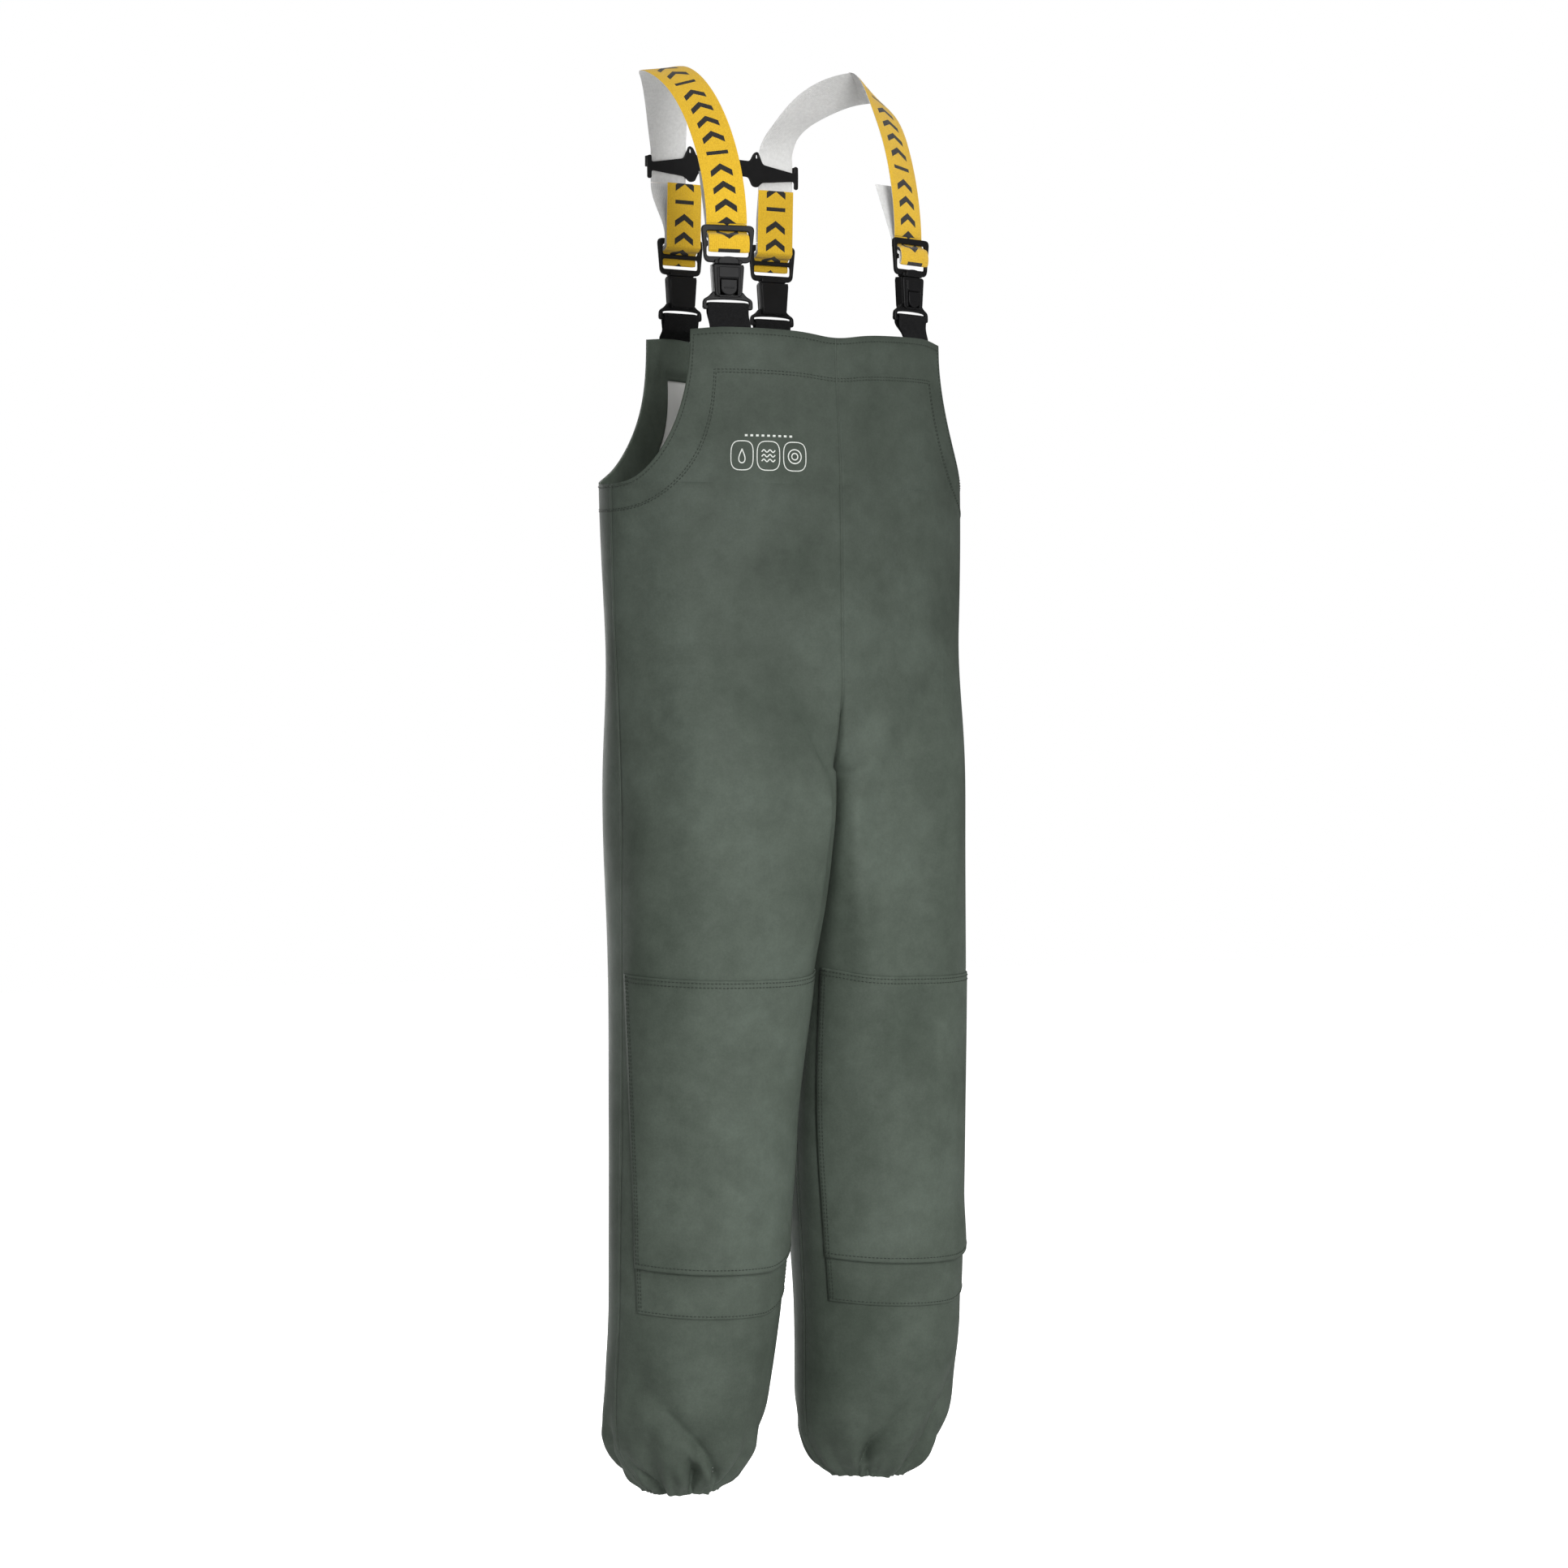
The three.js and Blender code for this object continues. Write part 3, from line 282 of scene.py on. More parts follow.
def coated_cloth(name, shade=1.0):
    """Matt coated cloth: mottled grey-green, fine grain and rubbed patches, with painted shade that darkens
    it towards the chest.
    """
    recipe = Recipe(name, 0.7, Specular_IOR_Level=0.22)
    # shade scales the whole colour; a value above 1 is painted light.
    tint = [linear(*(shade * value for value in colour)) for colour in (
        (66, 75, 66), (79, 88, 79), (91, 101, 92))]
    cloudy = recipe.noise(7.0, 6.0, 0.62)
    colour = recipe.ramp(cloudy, [(0.3, tint[0]), (0.5, tint[1]), (0.72, tint[2])])
    specks = recipe.ramp(recipe.noise(420.0, 2.0, 0.7), [(0.35, (0.82, 0.82, 0.82)), (0.65, (1.0, 1.0, 1.0))])
    colour = recipe.mix(0.5, colour, specks, "MULTIPLY")
    patches = recipe.ramp(recipe.noise(46.0, 7.0, 0.7), [(0.36, (0.80, 0.80, 0.80)), (0.62, (1.0, 1.0, 1.0))])
    colour = recipe.mix(0.65, colour, patches, "MULTIPLY")
    streak = recipe.node("ShaderNodeMapping", Scale=(34.0, 34.0, 4.0))
    recipe.link(recipe.place, streak.inputs["Vector"])
    streaks = recipe.noise(1.0, 4.0, 0.6, streak.outputs["Vector"])
    streak_shade = recipe.ramp(streaks, [(0.3, (0.93, 0.93, 0.93)), (0.7, (1.0, 1.0, 1.0))])
    colour = recipe.mix(0.6, colour, streak_shade, "MULTIPLY")
    # Painted shade: the colour darkens with height towards the chest, standing in for the light falling off
    # there.
    split = recipe.node("ShaderNodeSeparateXYZ")
    recipe.link(recipe.place, split.inputs["Vector"])
    colour = recipe.mix(1.0, colour, recipe.ramp(recipe.math("ADD", split.outputs["Z"], 1.2), [
        (0.35, (1.0, 1.0, 1.0)), (0.75, (0.68, 0.68, 0.68))]), "MULTIPLY")
    normal = recipe.bump(cloudy, 0.0016, 0.35)
    normal = recipe.bump(recipe.noise(150.0, 4.0, 0.65), 0.0005, 0.35, normal)
    normal = recipe.bump(recipe.noise(1500.0, 2.0, 0.6), 0.00012, 0.5, normal)
    polish = recipe.node("ShaderNodeMapRange")
    polish.inputs["To Min"].default_value = 0.62
    polish.inputs["To Max"].default_value = 0.82
    recipe.link(recipe.noise(30.0, 3.0), polish.inputs["Value"])
    return recipe.finish(colour, normal, polish.outputs["Result"])


def lining_cloth():
    """Pale knitted backing on the inside of the cloth, with fine wales."""
    recipe = Recipe("lining", 0.9, Specular_IOR_Level=0.2, Sheen_Weight=0.25)
    colour = recipe.ramp(recipe.noise(9.0, 4.0), [(0.3, linear(205, 206, 204)), (0.7, linear(226, 227, 225))])
    wales = recipe.node("ShaderNodeTexWave", Scale=320.0, Distortion=1.0, Detail=1.0)
    recipe.link(recipe.place, wales.inputs["Vector"])
    normal = recipe.bump(wales.outputs["Color"], 0.0003, 0.5)
    return recipe.finish(colour, normal)


def thread(name, colour):
    """Twisted sewing thread."""
    recipe = Recipe(name, 0.6, Specular_IOR_Level=0.35)
    shade = recipe.ramp(recipe.noise(900.0, 2.0), [(0.3, tuple(0.8 * c for c in colour)), (0.7, colour)])
    return recipe.finish(shade)


def moulded_plastic(name="clip_plastic", level=(9, 9, 10)):
    """Black moulded nylon with a fine texture, faint flow marks and lighter rubbed spots."""
    recipe = Recipe(name, 0.42, Specular_IOR_Level=0.2)
    base = linear(*level)
    rubbed = tuple(1.7 * value for value in base)
    colour = recipe.ramp(recipe.noise(60.0, 5.0, 0.6), [(0.35, base), (0.8, rubbed)])
    normal = recipe.bump(recipe.noise(1300.0, 2.0), 0.0001, 0.45)
    normal = recipe.bump(recipe.noise(45.0, 2.0), 0.0005, 0.15, normal)
    gloss = recipe.node("ShaderNodeMapRange")
    gloss.inputs["To Min"].default_value = 0.34
    gloss.inputs["To Max"].default_value = 0.55
    recipe.link(recipe.noise(35.0, 3.0), gloss.inputs["Value"])
    return recipe.finish(colour, normal, gloss.outputs["Result"])


def rib_height(recipe, across_count, along_pitch):
    """Height of ribbed elastic from its UV: u in metres along, v from 0 to 1 across."""
    uv = recipe.node("ShaderNodeUVMap", uv_map="UVMap").outputs["UV"]
    split = recipe.node("ShaderNodeSeparateXYZ")
    recipe.link(uv, split.inputs["Vector"])
    u = split.outputs["X"]
    v = split.outputs["Y"]
    lengthways = recipe.math("SINE", recipe.math("MULTIPLY", v, across_count * 2 * math.pi))
    crossways = recipe.math("SINE", recipe.math("MULTIPLY", u, 2 * math.pi / along_pitch))
    height = recipe.math("MULTIPLY_ADD", crossways, 0.6, lengthways)
    return u, v, height


def strap_front():
    """Yellow elastic face with a printed row of black chevrons and bars, repeated along the strap."""
    recipe = Recipe("strap_yellow", 0.72, Specular_IOR_Level=0.3, Sheen_Weight=0.2)
    u, v, height = rib_height(recipe, 30.0, 0.0014)
    fibre = recipe.noise(700.0, 3.0, 0.7)
    yellow = recipe.ramp(fibre, [(0.3, linear(198, 156, 18)), (0.7, linear(222, 181, 34))])
    shade = recipe.ramp(recipe.noise(14.0, 3.0), [(0.3, (0.9, 0.88, 0.82)), (0.7, (1.0, 1.0, 1.0))])
    yellow = recipe.mix(0.8, yellow, shade, "MULTIPLY")
    off_centre = recipe.math("ABSOLUTE", recipe.math("SUBTRACT", v, 0.5))
    in_row = recipe.math("LESS_THAN", off_centre, 0.27)
    skew = recipe.math("MULTIPLY_ADD", off_centre, 0.030, u)
    period = 0.098
    place = recipe.math("FRACT", recipe.math("DIVIDE", skew, period))
    chevrons = recipe.math("FRACT", recipe.math("MULTIPLY", place, 5.0))
    stroke = recipe.math("LESS_THAN", chevrons, 0.36)
    in_group = recipe.math("LESS_THAN", place, 0.68)
    print_mask = recipe.math("MULTIPLY", recipe.math("MULTIPLY", stroke, in_group), in_row)
    bar_place = recipe.math("FRACT", recipe.math("DIVIDE", u, period))
    bar_centre = recipe.math("ABSOLUTE", recipe.math("SUBTRACT", bar_place, 0.80))
    bar = recipe.math("MULTIPLY", recipe.math("LESS_THAN", bar_centre, 0.022), in_row)
    print_mask = recipe.math("MAXIMUM", print_mask, bar)
    colour = recipe.mix(print_mask, yellow, linear(24, 22, 20))
    normal = recipe.bump(height, 0.00022, 0.55)
    return recipe.finish(colour, normal)


def strap_back_face():
    """White ribbed inner face of the elastic."""
    recipe = Recipe("strap_white", 0.85, Specular_IOR_Level=0.2, Sheen_Weight=0.25)
    _, _, height = rib_height(recipe, 26.0, 0.0012)
    stops = [(0.3, linear(204, 204, 203)), (0.7, linear(216, 216, 215))]
    colour = recipe.ramp(recipe.noise(300.0, 3.0), stops)
    normal = recipe.bump(height, 0.00022, 0.35)
    return recipe.finish(colour, normal)


def black_webbing():
    """Black woven webbing with a herringbone weave."""
    recipe = Recipe("webbing_black", 0.8, Specular_IOR_Level=0.15)
    u, v, _ = rib_height(recipe, 10.0, 0.002)
    zigzag = recipe.math("PINGPONG", recipe.math("MULTIPLY", v, WEBBING_WIDTH), WEBBING_WIDTH / 8)
    twill = recipe.math("SINE", recipe.math("MULTIPLY", recipe.math("ADD", u, zigzag), 2 * math.pi / 0.0016))
    colour = recipe.ramp(recipe.noise(600.0, 3.0), [(0.3, linear(12, 12, 13)), (0.75, linear(27, 27, 28))])
    normal = recipe.bump(twill, 0.0003, 0.7)
    return recipe.finish(colour, normal)


def elastic_tape():
    """White ribbed elastic tape inside the ankle hem."""
    recipe = Recipe("elastic_tape", 0.85, Sheen_Weight=0.2)
    ribs = recipe.node("ShaderNodeTexWave", Scale=260.0, bands_direction="Z")
    recipe.link(recipe.place, ribs.inputs["Vector"])
    colour = recipe.ramp(recipe.noise(200.0), [(0.3, linear(214, 214, 208)), (0.7, linear(236, 236, 230))])
    return recipe.finish(colour, recipe.bump(ribs.outputs["Color"], 0.0003, 0.6))


CLOTH_MATERIAL = coated_cloth("cloth_green")
# The facing is the same cloth made 1.2 times brighter: painted light for the light it lacks inside the bib.
FACING_MATERIAL = coated_cloth("facing_green", 1.2)
LINING_MATERIAL = lining_cloth()
THREAD_MATERIAL = thread("thread_green", linear(40, 48, 40))
PRINT_MATERIAL = thread("print_white", linear(206, 210, 204))
STRAP_MATERIAL = strap_front()
STRAP_INNER_MATERIAL = strap_back_face()
WEBBING_MATERIAL = black_webbing()
PLASTIC_MATERIAL = moulded_plastic()
ELASTIC_MATERIAL = elastic_tape()

# ---------------------------------------------------------------- mesh tools


def add_piece(name, vertices, quads, materials, picks=None, uvs=None, smooth=True):
    """Makes a mesh object from arrays of points, quads, material numbers and a UV for each point."""
    mesh = bpy.data.meshes.new(name)
    mesh.vertices.add(len(vertices))
    mesh.vertices.foreach_set("co", np.asarray(vertices, np.float32).ravel())
    quads = np.asarray(quads, np.int32)
    mesh.loops.add(quads.size)
    mesh.loops.foreach_set("vertex_index", quads.ravel())
    mesh.polygons.add(len(quads))
    mesh.polygons.foreach_set("loop_start", np.arange(0, quads.size, quads.shape[1], dtype=np.int32))
    for material in materials:
        mesh.materials.append(material)
    if picks is not None:
        mesh.polygons.foreach_set("material_index", np.asarray(picks, np.int32))
    mesh.update(calc_edges=True)
    mesh.validate()
    if uvs is not None:
        layer = mesh.uv_layers.new(name="UVMap")
        layer.data.foreach_set("uv", np.asarray(uvs, np.float32)[quads.ravel()].ravel())
    mesh.polygons.foreach_set("use_smooth", np.full(len(quads), smooth))
    piece = bpy.data.objects.new(name, mesh)
    bpy.context.collection.objects.link(piece)
    return piece


def belong(piece, body, slot, *nodes):
    """Puts a finished piece on its body and hides the CAD nodes it stands for; the slot argument is not used.
    """
    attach(piece, body)
    if nodes:
        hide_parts(*nodes)


def grid_quads(rows, columns, closed=False):
    """Quads of a grid of points, row by row; closed joins the last column to the first."""
    row = np.arange(rows - 1)[:, None]
    column = np.arange(columns if closed else columns - 1)[None, :]
    beside = (column + 1) % columns
    first = row * columns + column
    second = row * columns + beside
    return np.stack([first, second, second + columns, first + columns], -1).reshape(-1, 4)


def shell_arrays(outer, inner):
    """One closed skin from two grids of points: both faces and the rim between them."""
    rows, columns = outer.shape[:2]
    faces = grid_quads(rows, columns)
    count = rows * columns
    index = np.arange(count).reshape(rows, columns)
    rim = np.concatenate([index[0], index[1:, -1], index[-1, -2::-1], index[-2:0:-1, 0]])
    ahead = np.roll(rim, -1)
    edge = np.stack([rim, rim + count, ahead + count, ahead], -1)
    vertices = np.concatenate([outer.reshape(-1, 3), inner.reshape(-1, 3)])
    quads = np.concatenate([faces, faces[:, ::-1] + count, edge])
    picks = np.concatenate([np.zeros(len(faces)), np.ones(len(faces)), np.zeros(len(edge))])
    return vertices, quads, picks


def outward(vertices, quads):
    """The quads, turned over where the closed surface faces inwards."""
    a, b, c, d = (vertices[quads[:, i]] for i in range(4))
    volume = np.einsum("ij,ij->", a, np.cross(b, c)) + np.einsum("ij,ij->", a, np.cross(c, d))
    return quads if volume > 0 else quads[:, ::-1]


def smooth_step(value, start, end):
    """0 at start, 1 at end, eased at both."""
    t = np.clip((value - start) / (end - start), 0, 1)
    return t * t * (3 - 2 * t)


def through(stations):
    """A smooth monotone curve through stations (position, value), flat beyond both ends."""
    stations = sorted(stations)
    x = np.array([station[0] for station in stations])
    y = np.array([station[1] for station in stations])
    step = np.diff(x)
    rate = np.diff(y) / step
    before, after = rate[:-1], rate[1:]
    same = before * after > 0
    total = np.where(same, before + after, 1.0)
    inner = np.where(same, 2 * before * after / total, 0.0)
    slope = np.concatenate([[0], inner, [0]])

    def curve(position):
        position = np.clip(position, x[0], x[-1])
        i = np.clip(np.searchsorted(x, position, side="right") - 1, 0, len(x) - 2)
        t = (position - x[i]) / step[i]
        rise = (2 * t**3 - 3 * t**2 + 1) * y[i] + (t**3 - 2 * t**2 + t) * step[i] * slope[i]
        return rise + (3 * t**2 - 2 * t**3) * y[i + 1] + (t**3 - t**2) * step[i] * slope[i + 1]

    return curve


# ---------------------------------------------------------------- the shape of the cloth

THIGH = CROTCH - 0.217
KNEE = CROTCH - 0.388
CALF = HEM + 0.210
SHIN = HEM + 0.097
ANKLE = HEM + 0.054
HEEL_TOP = HEM + 0.033
HEEL = HEM + 0.015
HIP_HALF_WIDTH = 0.211
LEG_GAP = 0.002
HIP_SPREAD = (HIP_HALF_WIDTH + LEG_GAP / 2) / 2
HEM_RADIUS = 0.039

body_width = through([(BIB_TOP, 0.203), (ARMHOLE_BOTTOM, 0.220), (CROTCH, HIP_HALF_WIDTH)])
body_depth = {
    "front": through([(BIB_TOP, 0.098), (ARMHOLE_BOTTOM, 0.107), (CROTCH, 0.112)]),
    "back": through([(BIB_TOP, 0.142), (ARMHOLE_BOTTOM, 0.126), (CROTCH, 0.118)]),
}
leg_centre = through([
    (CROTCH, HIP_SPREAD), (KNEE, 0.110), (CALF, 0.117), (ANKLE, 0.122), (HEM, HEM_CENTRE[0])])
leg_setback = through([
    (KNEE, -0.005), (CALF, -0.002), (SHIN, 0.009), (ANKLE, 0.016), (HEM, HEM_CENTRE[1] + SETBACK)])
leg_width = through([
    (CROTCH, HIP_SPREAD - LEG_GAP / 2), (THIGH, 0.104), (KNEE, 0.102), (CALF, 0.094),
    (SHIN, 0.088), (ANKLE, 0.081), (HEEL_TOP, 0.070), (HEEL, 0.055), (HEM, HEM_RADIUS)])
leg_depth = {
    face: through([
        (CROTCH, hip), (THIGH, 0.106), (KNEE, 0.096), (CALF, 0.088),
        (SHIN, 0.083), (ANKLE, 0.078), (HEEL_TOP, 0.069), (HEEL, 0.055), (HEM, HEM_RADIUS)])
    for face, hip in (("front", 0.112), ("back", 0.118))
}
leg_squareness = through([(CROTCH, 14.0), (CROTCH - 0.09, 8.0), (THIGH, 3.4), (KNEE, 2.1)])


def bib_sag(face, side, share):
    """How far the bib's top edge hangs below straight: it dips between the clips and at the corners."""
    if face == "back":
        return 0.003 - 0.002 * np.cos(share / BIB_SHARE["back"] * 5)
    corner = 0.004 if side == "left" else 0.002
    dip = 0.005 * np.exp(-((share / 0.10) ** 2)) + corner * smooth_step(share, 0.42, 0.60)
    return -0.002 - dip + 0.001 * np.cos((share - 0.40) / 0.12)


def base_point(face, side, share, level):
    """The cloth without folds: an ellipse for the body, blended into a rounded ring for each leg.

    share runs from 0 at the centre seam or inseam to 1 at the side seam.
    """
    share, level = np.broadcast_arrays(np.asarray(share, float), np.asarray(level, float))
    angle = share * np.pi / 2
    body_x = body_width(level) * np.sin(angle)
    body_y = body_depth[face](level) * np.cos(angle)
    turn = share * np.pi
    square = np.where(share < 0.5, 2 / leg_squareness(level), 1.0)
    cosine = np.cos(turn)
    across = np.sign(cosine) * np.abs(cosine) ** square
    forward = np.abs(np.sin(turn)) ** square
    leg_x = leg_centre(level) - leg_width(level) * across
    leg_y = leg_depth[face](level) * forward
    drop = np.clip((RISE_START - level) / CROTCH_CURVE, 0, 1)
    seam_blend = 1 - np.sqrt(1 - drop * drop)
    side_blend = smooth_step(level, CROTCH + 0.160, CROTCH - 0.060)
    blend = seam_blend + (side_blend - seam_blend) * smooth_step(share, 0, 0.35)
    fullness = 1 + 0.4 * blend * (1 - blend) * np.sin(turn)
    x = body_x + (leg_x - body_x) * blend + 0.0002
    y = (body_y + (leg_y - body_y) * blend) * fullness + 0.0002
    setback = leg_setback(level) * side_blend - SETBACK
    sag = bib_sag(face, side, share) * smooth_step(level, ARMHOLE_BOTTOM, BIB_TOP)
    return np.stack([x * SIGN[side], y * SIGN[face] + setback, level + sag], -1)


def base_normal(face, side, share, level):
    """The outward direction of the cloth without folds, from differences either way."""
    share, level = np.broadcast_arrays(np.asarray(share, float), np.asarray(level, float))
    right = base_point(face, side, np.clip(share + 0.01, 0, 1), level)
    left = base_point(face, side, np.clip(share - 0.01, 0.001, 1), level)
    down = base_point(face, side, share, level - 0.002) - base_point(face, side, share, level + 0.002)
    normal = np.cross(right - left, down) * (SIGN[face] * SIGN[side])
    return normal / np.linalg.norm(normal, axis=-1, keepdims=True)


def wave_set(seed, orders, strength):
    """Seeded wave settings: order, height, phase, drift and twist of each wave."""
    random = np.random.default_rng(seed)
    return [
        (order, strength / order**0.6, *random.uniform([0, 0, 1.5], [6.28, 6.28, 4.5]))
        for order in orders
    ]


BODY_WAVES = wave_set(3, (3, 4, 5, 7, 9, 12), 0.0040)
LEG_WAVES = {"right": wave_set(11, (2, 3, 5, 7, 10), 0.0038), "left": wave_set(19, (2, 3, 4, 6, 9), 0.0038)}


def waves(settings, turn, level):
    """Long soft folds: waves around the body whose phase drifts slowly with height."""
    total = np.zeros_like(turn)
    for order, height, phase, drift, twist in settings:
        wobble = 0.9 * np.sin(level * 2.1 * twist + drift)
        fade = 0.55 + 0.45 * np.sin(level * 1.7 * twist + 2 * drift)
        total += height * fade * np.cos(order * turn + phase + wobble)
    return total


CREASES = 7


def pleats(side, turn, level):
    """Gathers at the ankle: fine pleats at the hem, and long pinched creases that lean and fade upwards."""
    rise = level - HEM
    random = np.random.default_rng({"right": 5, "left": 8}[side])
    fine = np.zeros_like(turn)
    for count, height, reach in ((27, 0.0024, 0.018), (16, 0.0038, 0.032), (9, 0.0046, 0.055)):
        phase = random.uniform(0, 6.28)
        bend = random.uniform(0.3, 0.8) * np.sin(2 * turn + random.uniform(0, 6.28))
        ridge = 1 - 2 * np.abs(np.cos((count * (turn + 0.15 * bend) + phase) / 2)) ** 3
        fine += height * ridge * np.exp(-np.clip(rise, 0, None) / reach)
    creases = np.zeros_like(turn)
    for k in range(CREASES):
        centre = (k + random.uniform(-0.35, 0.35)) * 2 * np.pi / CREASES
        lean, reach, deep = random.uniform((-1.5, 0.08, 0.0090), (1.5, 0.19, 0.0150))
        off = np.angle(np.exp(1j * (turn - centre - lean * rise / 0.1)))
        width = 0.06 + 0.20 * np.clip(rise, 0, None) / 0.1
        near = smooth_step(rise, reach, reach * 0.3)
        creases -= deep * near * (np.exp(-np.abs(off) / width) - 0.35 * np.exp(-((off / width - 1.6) ** 2)))
    rim = 0.30 + 0.70 * smooth_step(rise, 0.002, 0.022)
    off_seam = smooth_step(np.abs(np.sin(turn)), 0.05, 0.45)
    return (fine * smooth_step(rise, 0.14, 0.05) + creases * off_seam) * rim


def fold_height(face, side, share, level):
    """How far the folds stand out of the smooth cloth."""
    share, level = np.broadcast_arrays(np.asarray(share, float), np.asarray(level, float))
    round_leg = (share if face == "front" else 2 - share) * np.pi
    round_body = SIGN[side] * round_leg / 2
    leg = smooth_step(level, RISE_START + 0.05, CROTCH - 0.12)
    height = waves(BODY_WAVES, round_body, level) * (1 - leg)
    height *= smooth_step(level, BIB_TOP + 0.02, ARMHOLE_BOTTOM)
    height += waves(LEG_WAVES[side], round_leg, level) * leg
    patch = smooth_step(level, PATCH_TOP + 0.03, PATCH_TOP - 0.03)
    patch = patch * smooth_step(level, BAND_BOTTOM - 0.03, BAND_BOTTOM)
    front = smooth_step(np.abs(share - 0.5), 0.5, 0.35) if face == "front" else 0.0
    height *= 1 - 0.6 * patch * front
    return height + pleats(side, round_leg, level) * smooth_step(level, HEM + 0.20, HEM + 0.12)


def cloth_point(face, side, share, level, depth=0.0):
    """A point of the folded cloth, depth below its outer face."""
    out = fold_height(face, side, share, level)[..., None] - np.asarray(depth)[..., None]
    return base_point(face, side, share, level) + base_normal(face, side, share, level) * out


def armhole_edge(bib_share, top, bottom, progress):
    """The armhole edge, from the bib corner at progress 0 to the side seam at progress 1."""
    curve = 2 / ARMHOLE_SQUARENESS
    angle = np.pi / 2 * (1 - progress) ** 1.8
    share = 1 - (1 - bib_share) * np.sin(angle) ** curve
    return share, bottom + (top - bottom) * (1 - np.cos(angle) ** curve)


def panel_rows(face):
    """Rows of a panel from the bib to the hem: how far each reaches to the side, and its level."""
    progress = np.linspace(0, 1, 56, endpoint=False)
    share, level = armhole_edge(BIB_SHARE[face], BIB_TOP, ARMHOLE_BOTTOM, progress)
    body = np.linspace(ARMHOLE_BOTTOM, CROTCH, 46, endpoint=False)
    leg = np.linspace(CROTCH, SHIN, 80, endpoint=False)
    gather = np.linspace(SHIN, HEM + 0.001, 70)
    level = np.concatenate([level, body, leg, gather])
    return np.concatenate([share, np.ones(len(level) - len(share))]), level


def add_panel(face, side):
    """One of the four main panels, green outside and pale inside, cut as one tall sheet."""
    share, level = panel_rows(face)
    columns = np.linspace(0, 1, 84)
    grid_share = share[:, None] * columns
    grid_level = np.broadcast_to(level[:, None], grid_share.shape)
    outer = cloth_point(face, side, grid_share, grid_level)
    inner = cloth_point(face, side, grid_share, grid_level, np.full(grid_share.shape, CLOTH))
    vertices, quads, picks = shell_arrays(outer, inner)
    materials = (CLOTH_MATERIAL, LINING_MATERIAL)
    piece = add_piece(f"cloth_{face}_{side}", vertices, outward(vertices, quads), materials, picks)
    belong(piece, "garment", "cloth", f"panel_{face}_{side}")


def facing_edge(face, inset):
    """The facing's edge line: along the bib top, then down the armhole; inset 0 is the cut edge."""
    corner = BIB_SHARE[face] - FACING_SIDE * inset
    top = BIB_TOP - FACING_TOP * inset
    bottom = ARMHOLE_BOTTOM - 0.027 * inset
    straight = np.linspace(0, corner, 40, endpoint=False)
    share, level = armhole_edge(corner, top, bottom, np.linspace(0, 1, 80))
    return np.concatenate([straight, share]), np.concatenate([np.full(40, top), level])


def add_facing(face, side):
    """The facing inside the bib, along the top and the armhole."""
    rows = [facing_edge(face, inset) for inset in np.linspace(0, 1, 17)]
    share = np.stack([row[0] for row in rows])
    level = np.stack([row[1] for row in rows])
    over = smooth_step(np.abs(share - STUB_SHARE[face]), 0.135, 0.085)
    over = over * smooth_step(level, BIB_TOP - STUB_SEWN - 0.010, BIB_TOP - STUB_SEWN)
    gap = CLOTH + 0.0002 + 0.0037 * over
    outer = cloth_point(face, side, share, level, gap)
    inner = cloth_point(face, side, share, level, gap + FACING)
    vertices, quads, _ = shell_arrays(outer, inner)
    piece = add_piece(f"bib_facing_{face}_{side}", vertices, outward(vertices, quads), [FACING_MATERIAL])
    belong(piece, "garment", "facing", f"facing_{face}_{side}")


PATCH_SHARE = (0.1, 0.985)


def patch_share(level, column):
    """How far round the leg a knee patch column lies: the patch narrows slightly downwards."""
    fall = np.clip((PATCH_TOP - level) / (PATCH_TOP - BAND_BOTTOM), 0, 1)
    inner = PATCH_SHARE[0] + 0.03 * fall
    outer = PATCH_SHARE[1] - 0.09 * fall
    return inner + (outer - inner) * column


def patch_lift(share, level, column):
    """How far the knee patch stands off the leg: it opens a little at its free lower edge."""
    free = smooth_step(level, PATCH_BOTTOM + 0.070, PATCH_BOTTOM)
    middle = np.sin(np.pi * np.clip(column, 0, 1)) ** 0.6
    return 0.0004 + free * (0.0010 + 0.0045 * middle)


def pocket_sag(side, column):
    """How far the pocket's lower edges hang in the middle; they rise at one end of each leg."""
    raised = smooth_step(column, 0.35, 0.0) if side == "right" else 0.6 * smooth_step(column, 0.65, 1.0)
    return 0.006 * np.sin(np.pi * column) - 0.002 - 0.018 * raised


def patch_top_sag(side, column):
    """How far the patch's top edge hangs in the middle."""
    return 0.006 * np.sin(np.pi * column) - 0.004 * smooth_step(column, 0.4, 0.0)


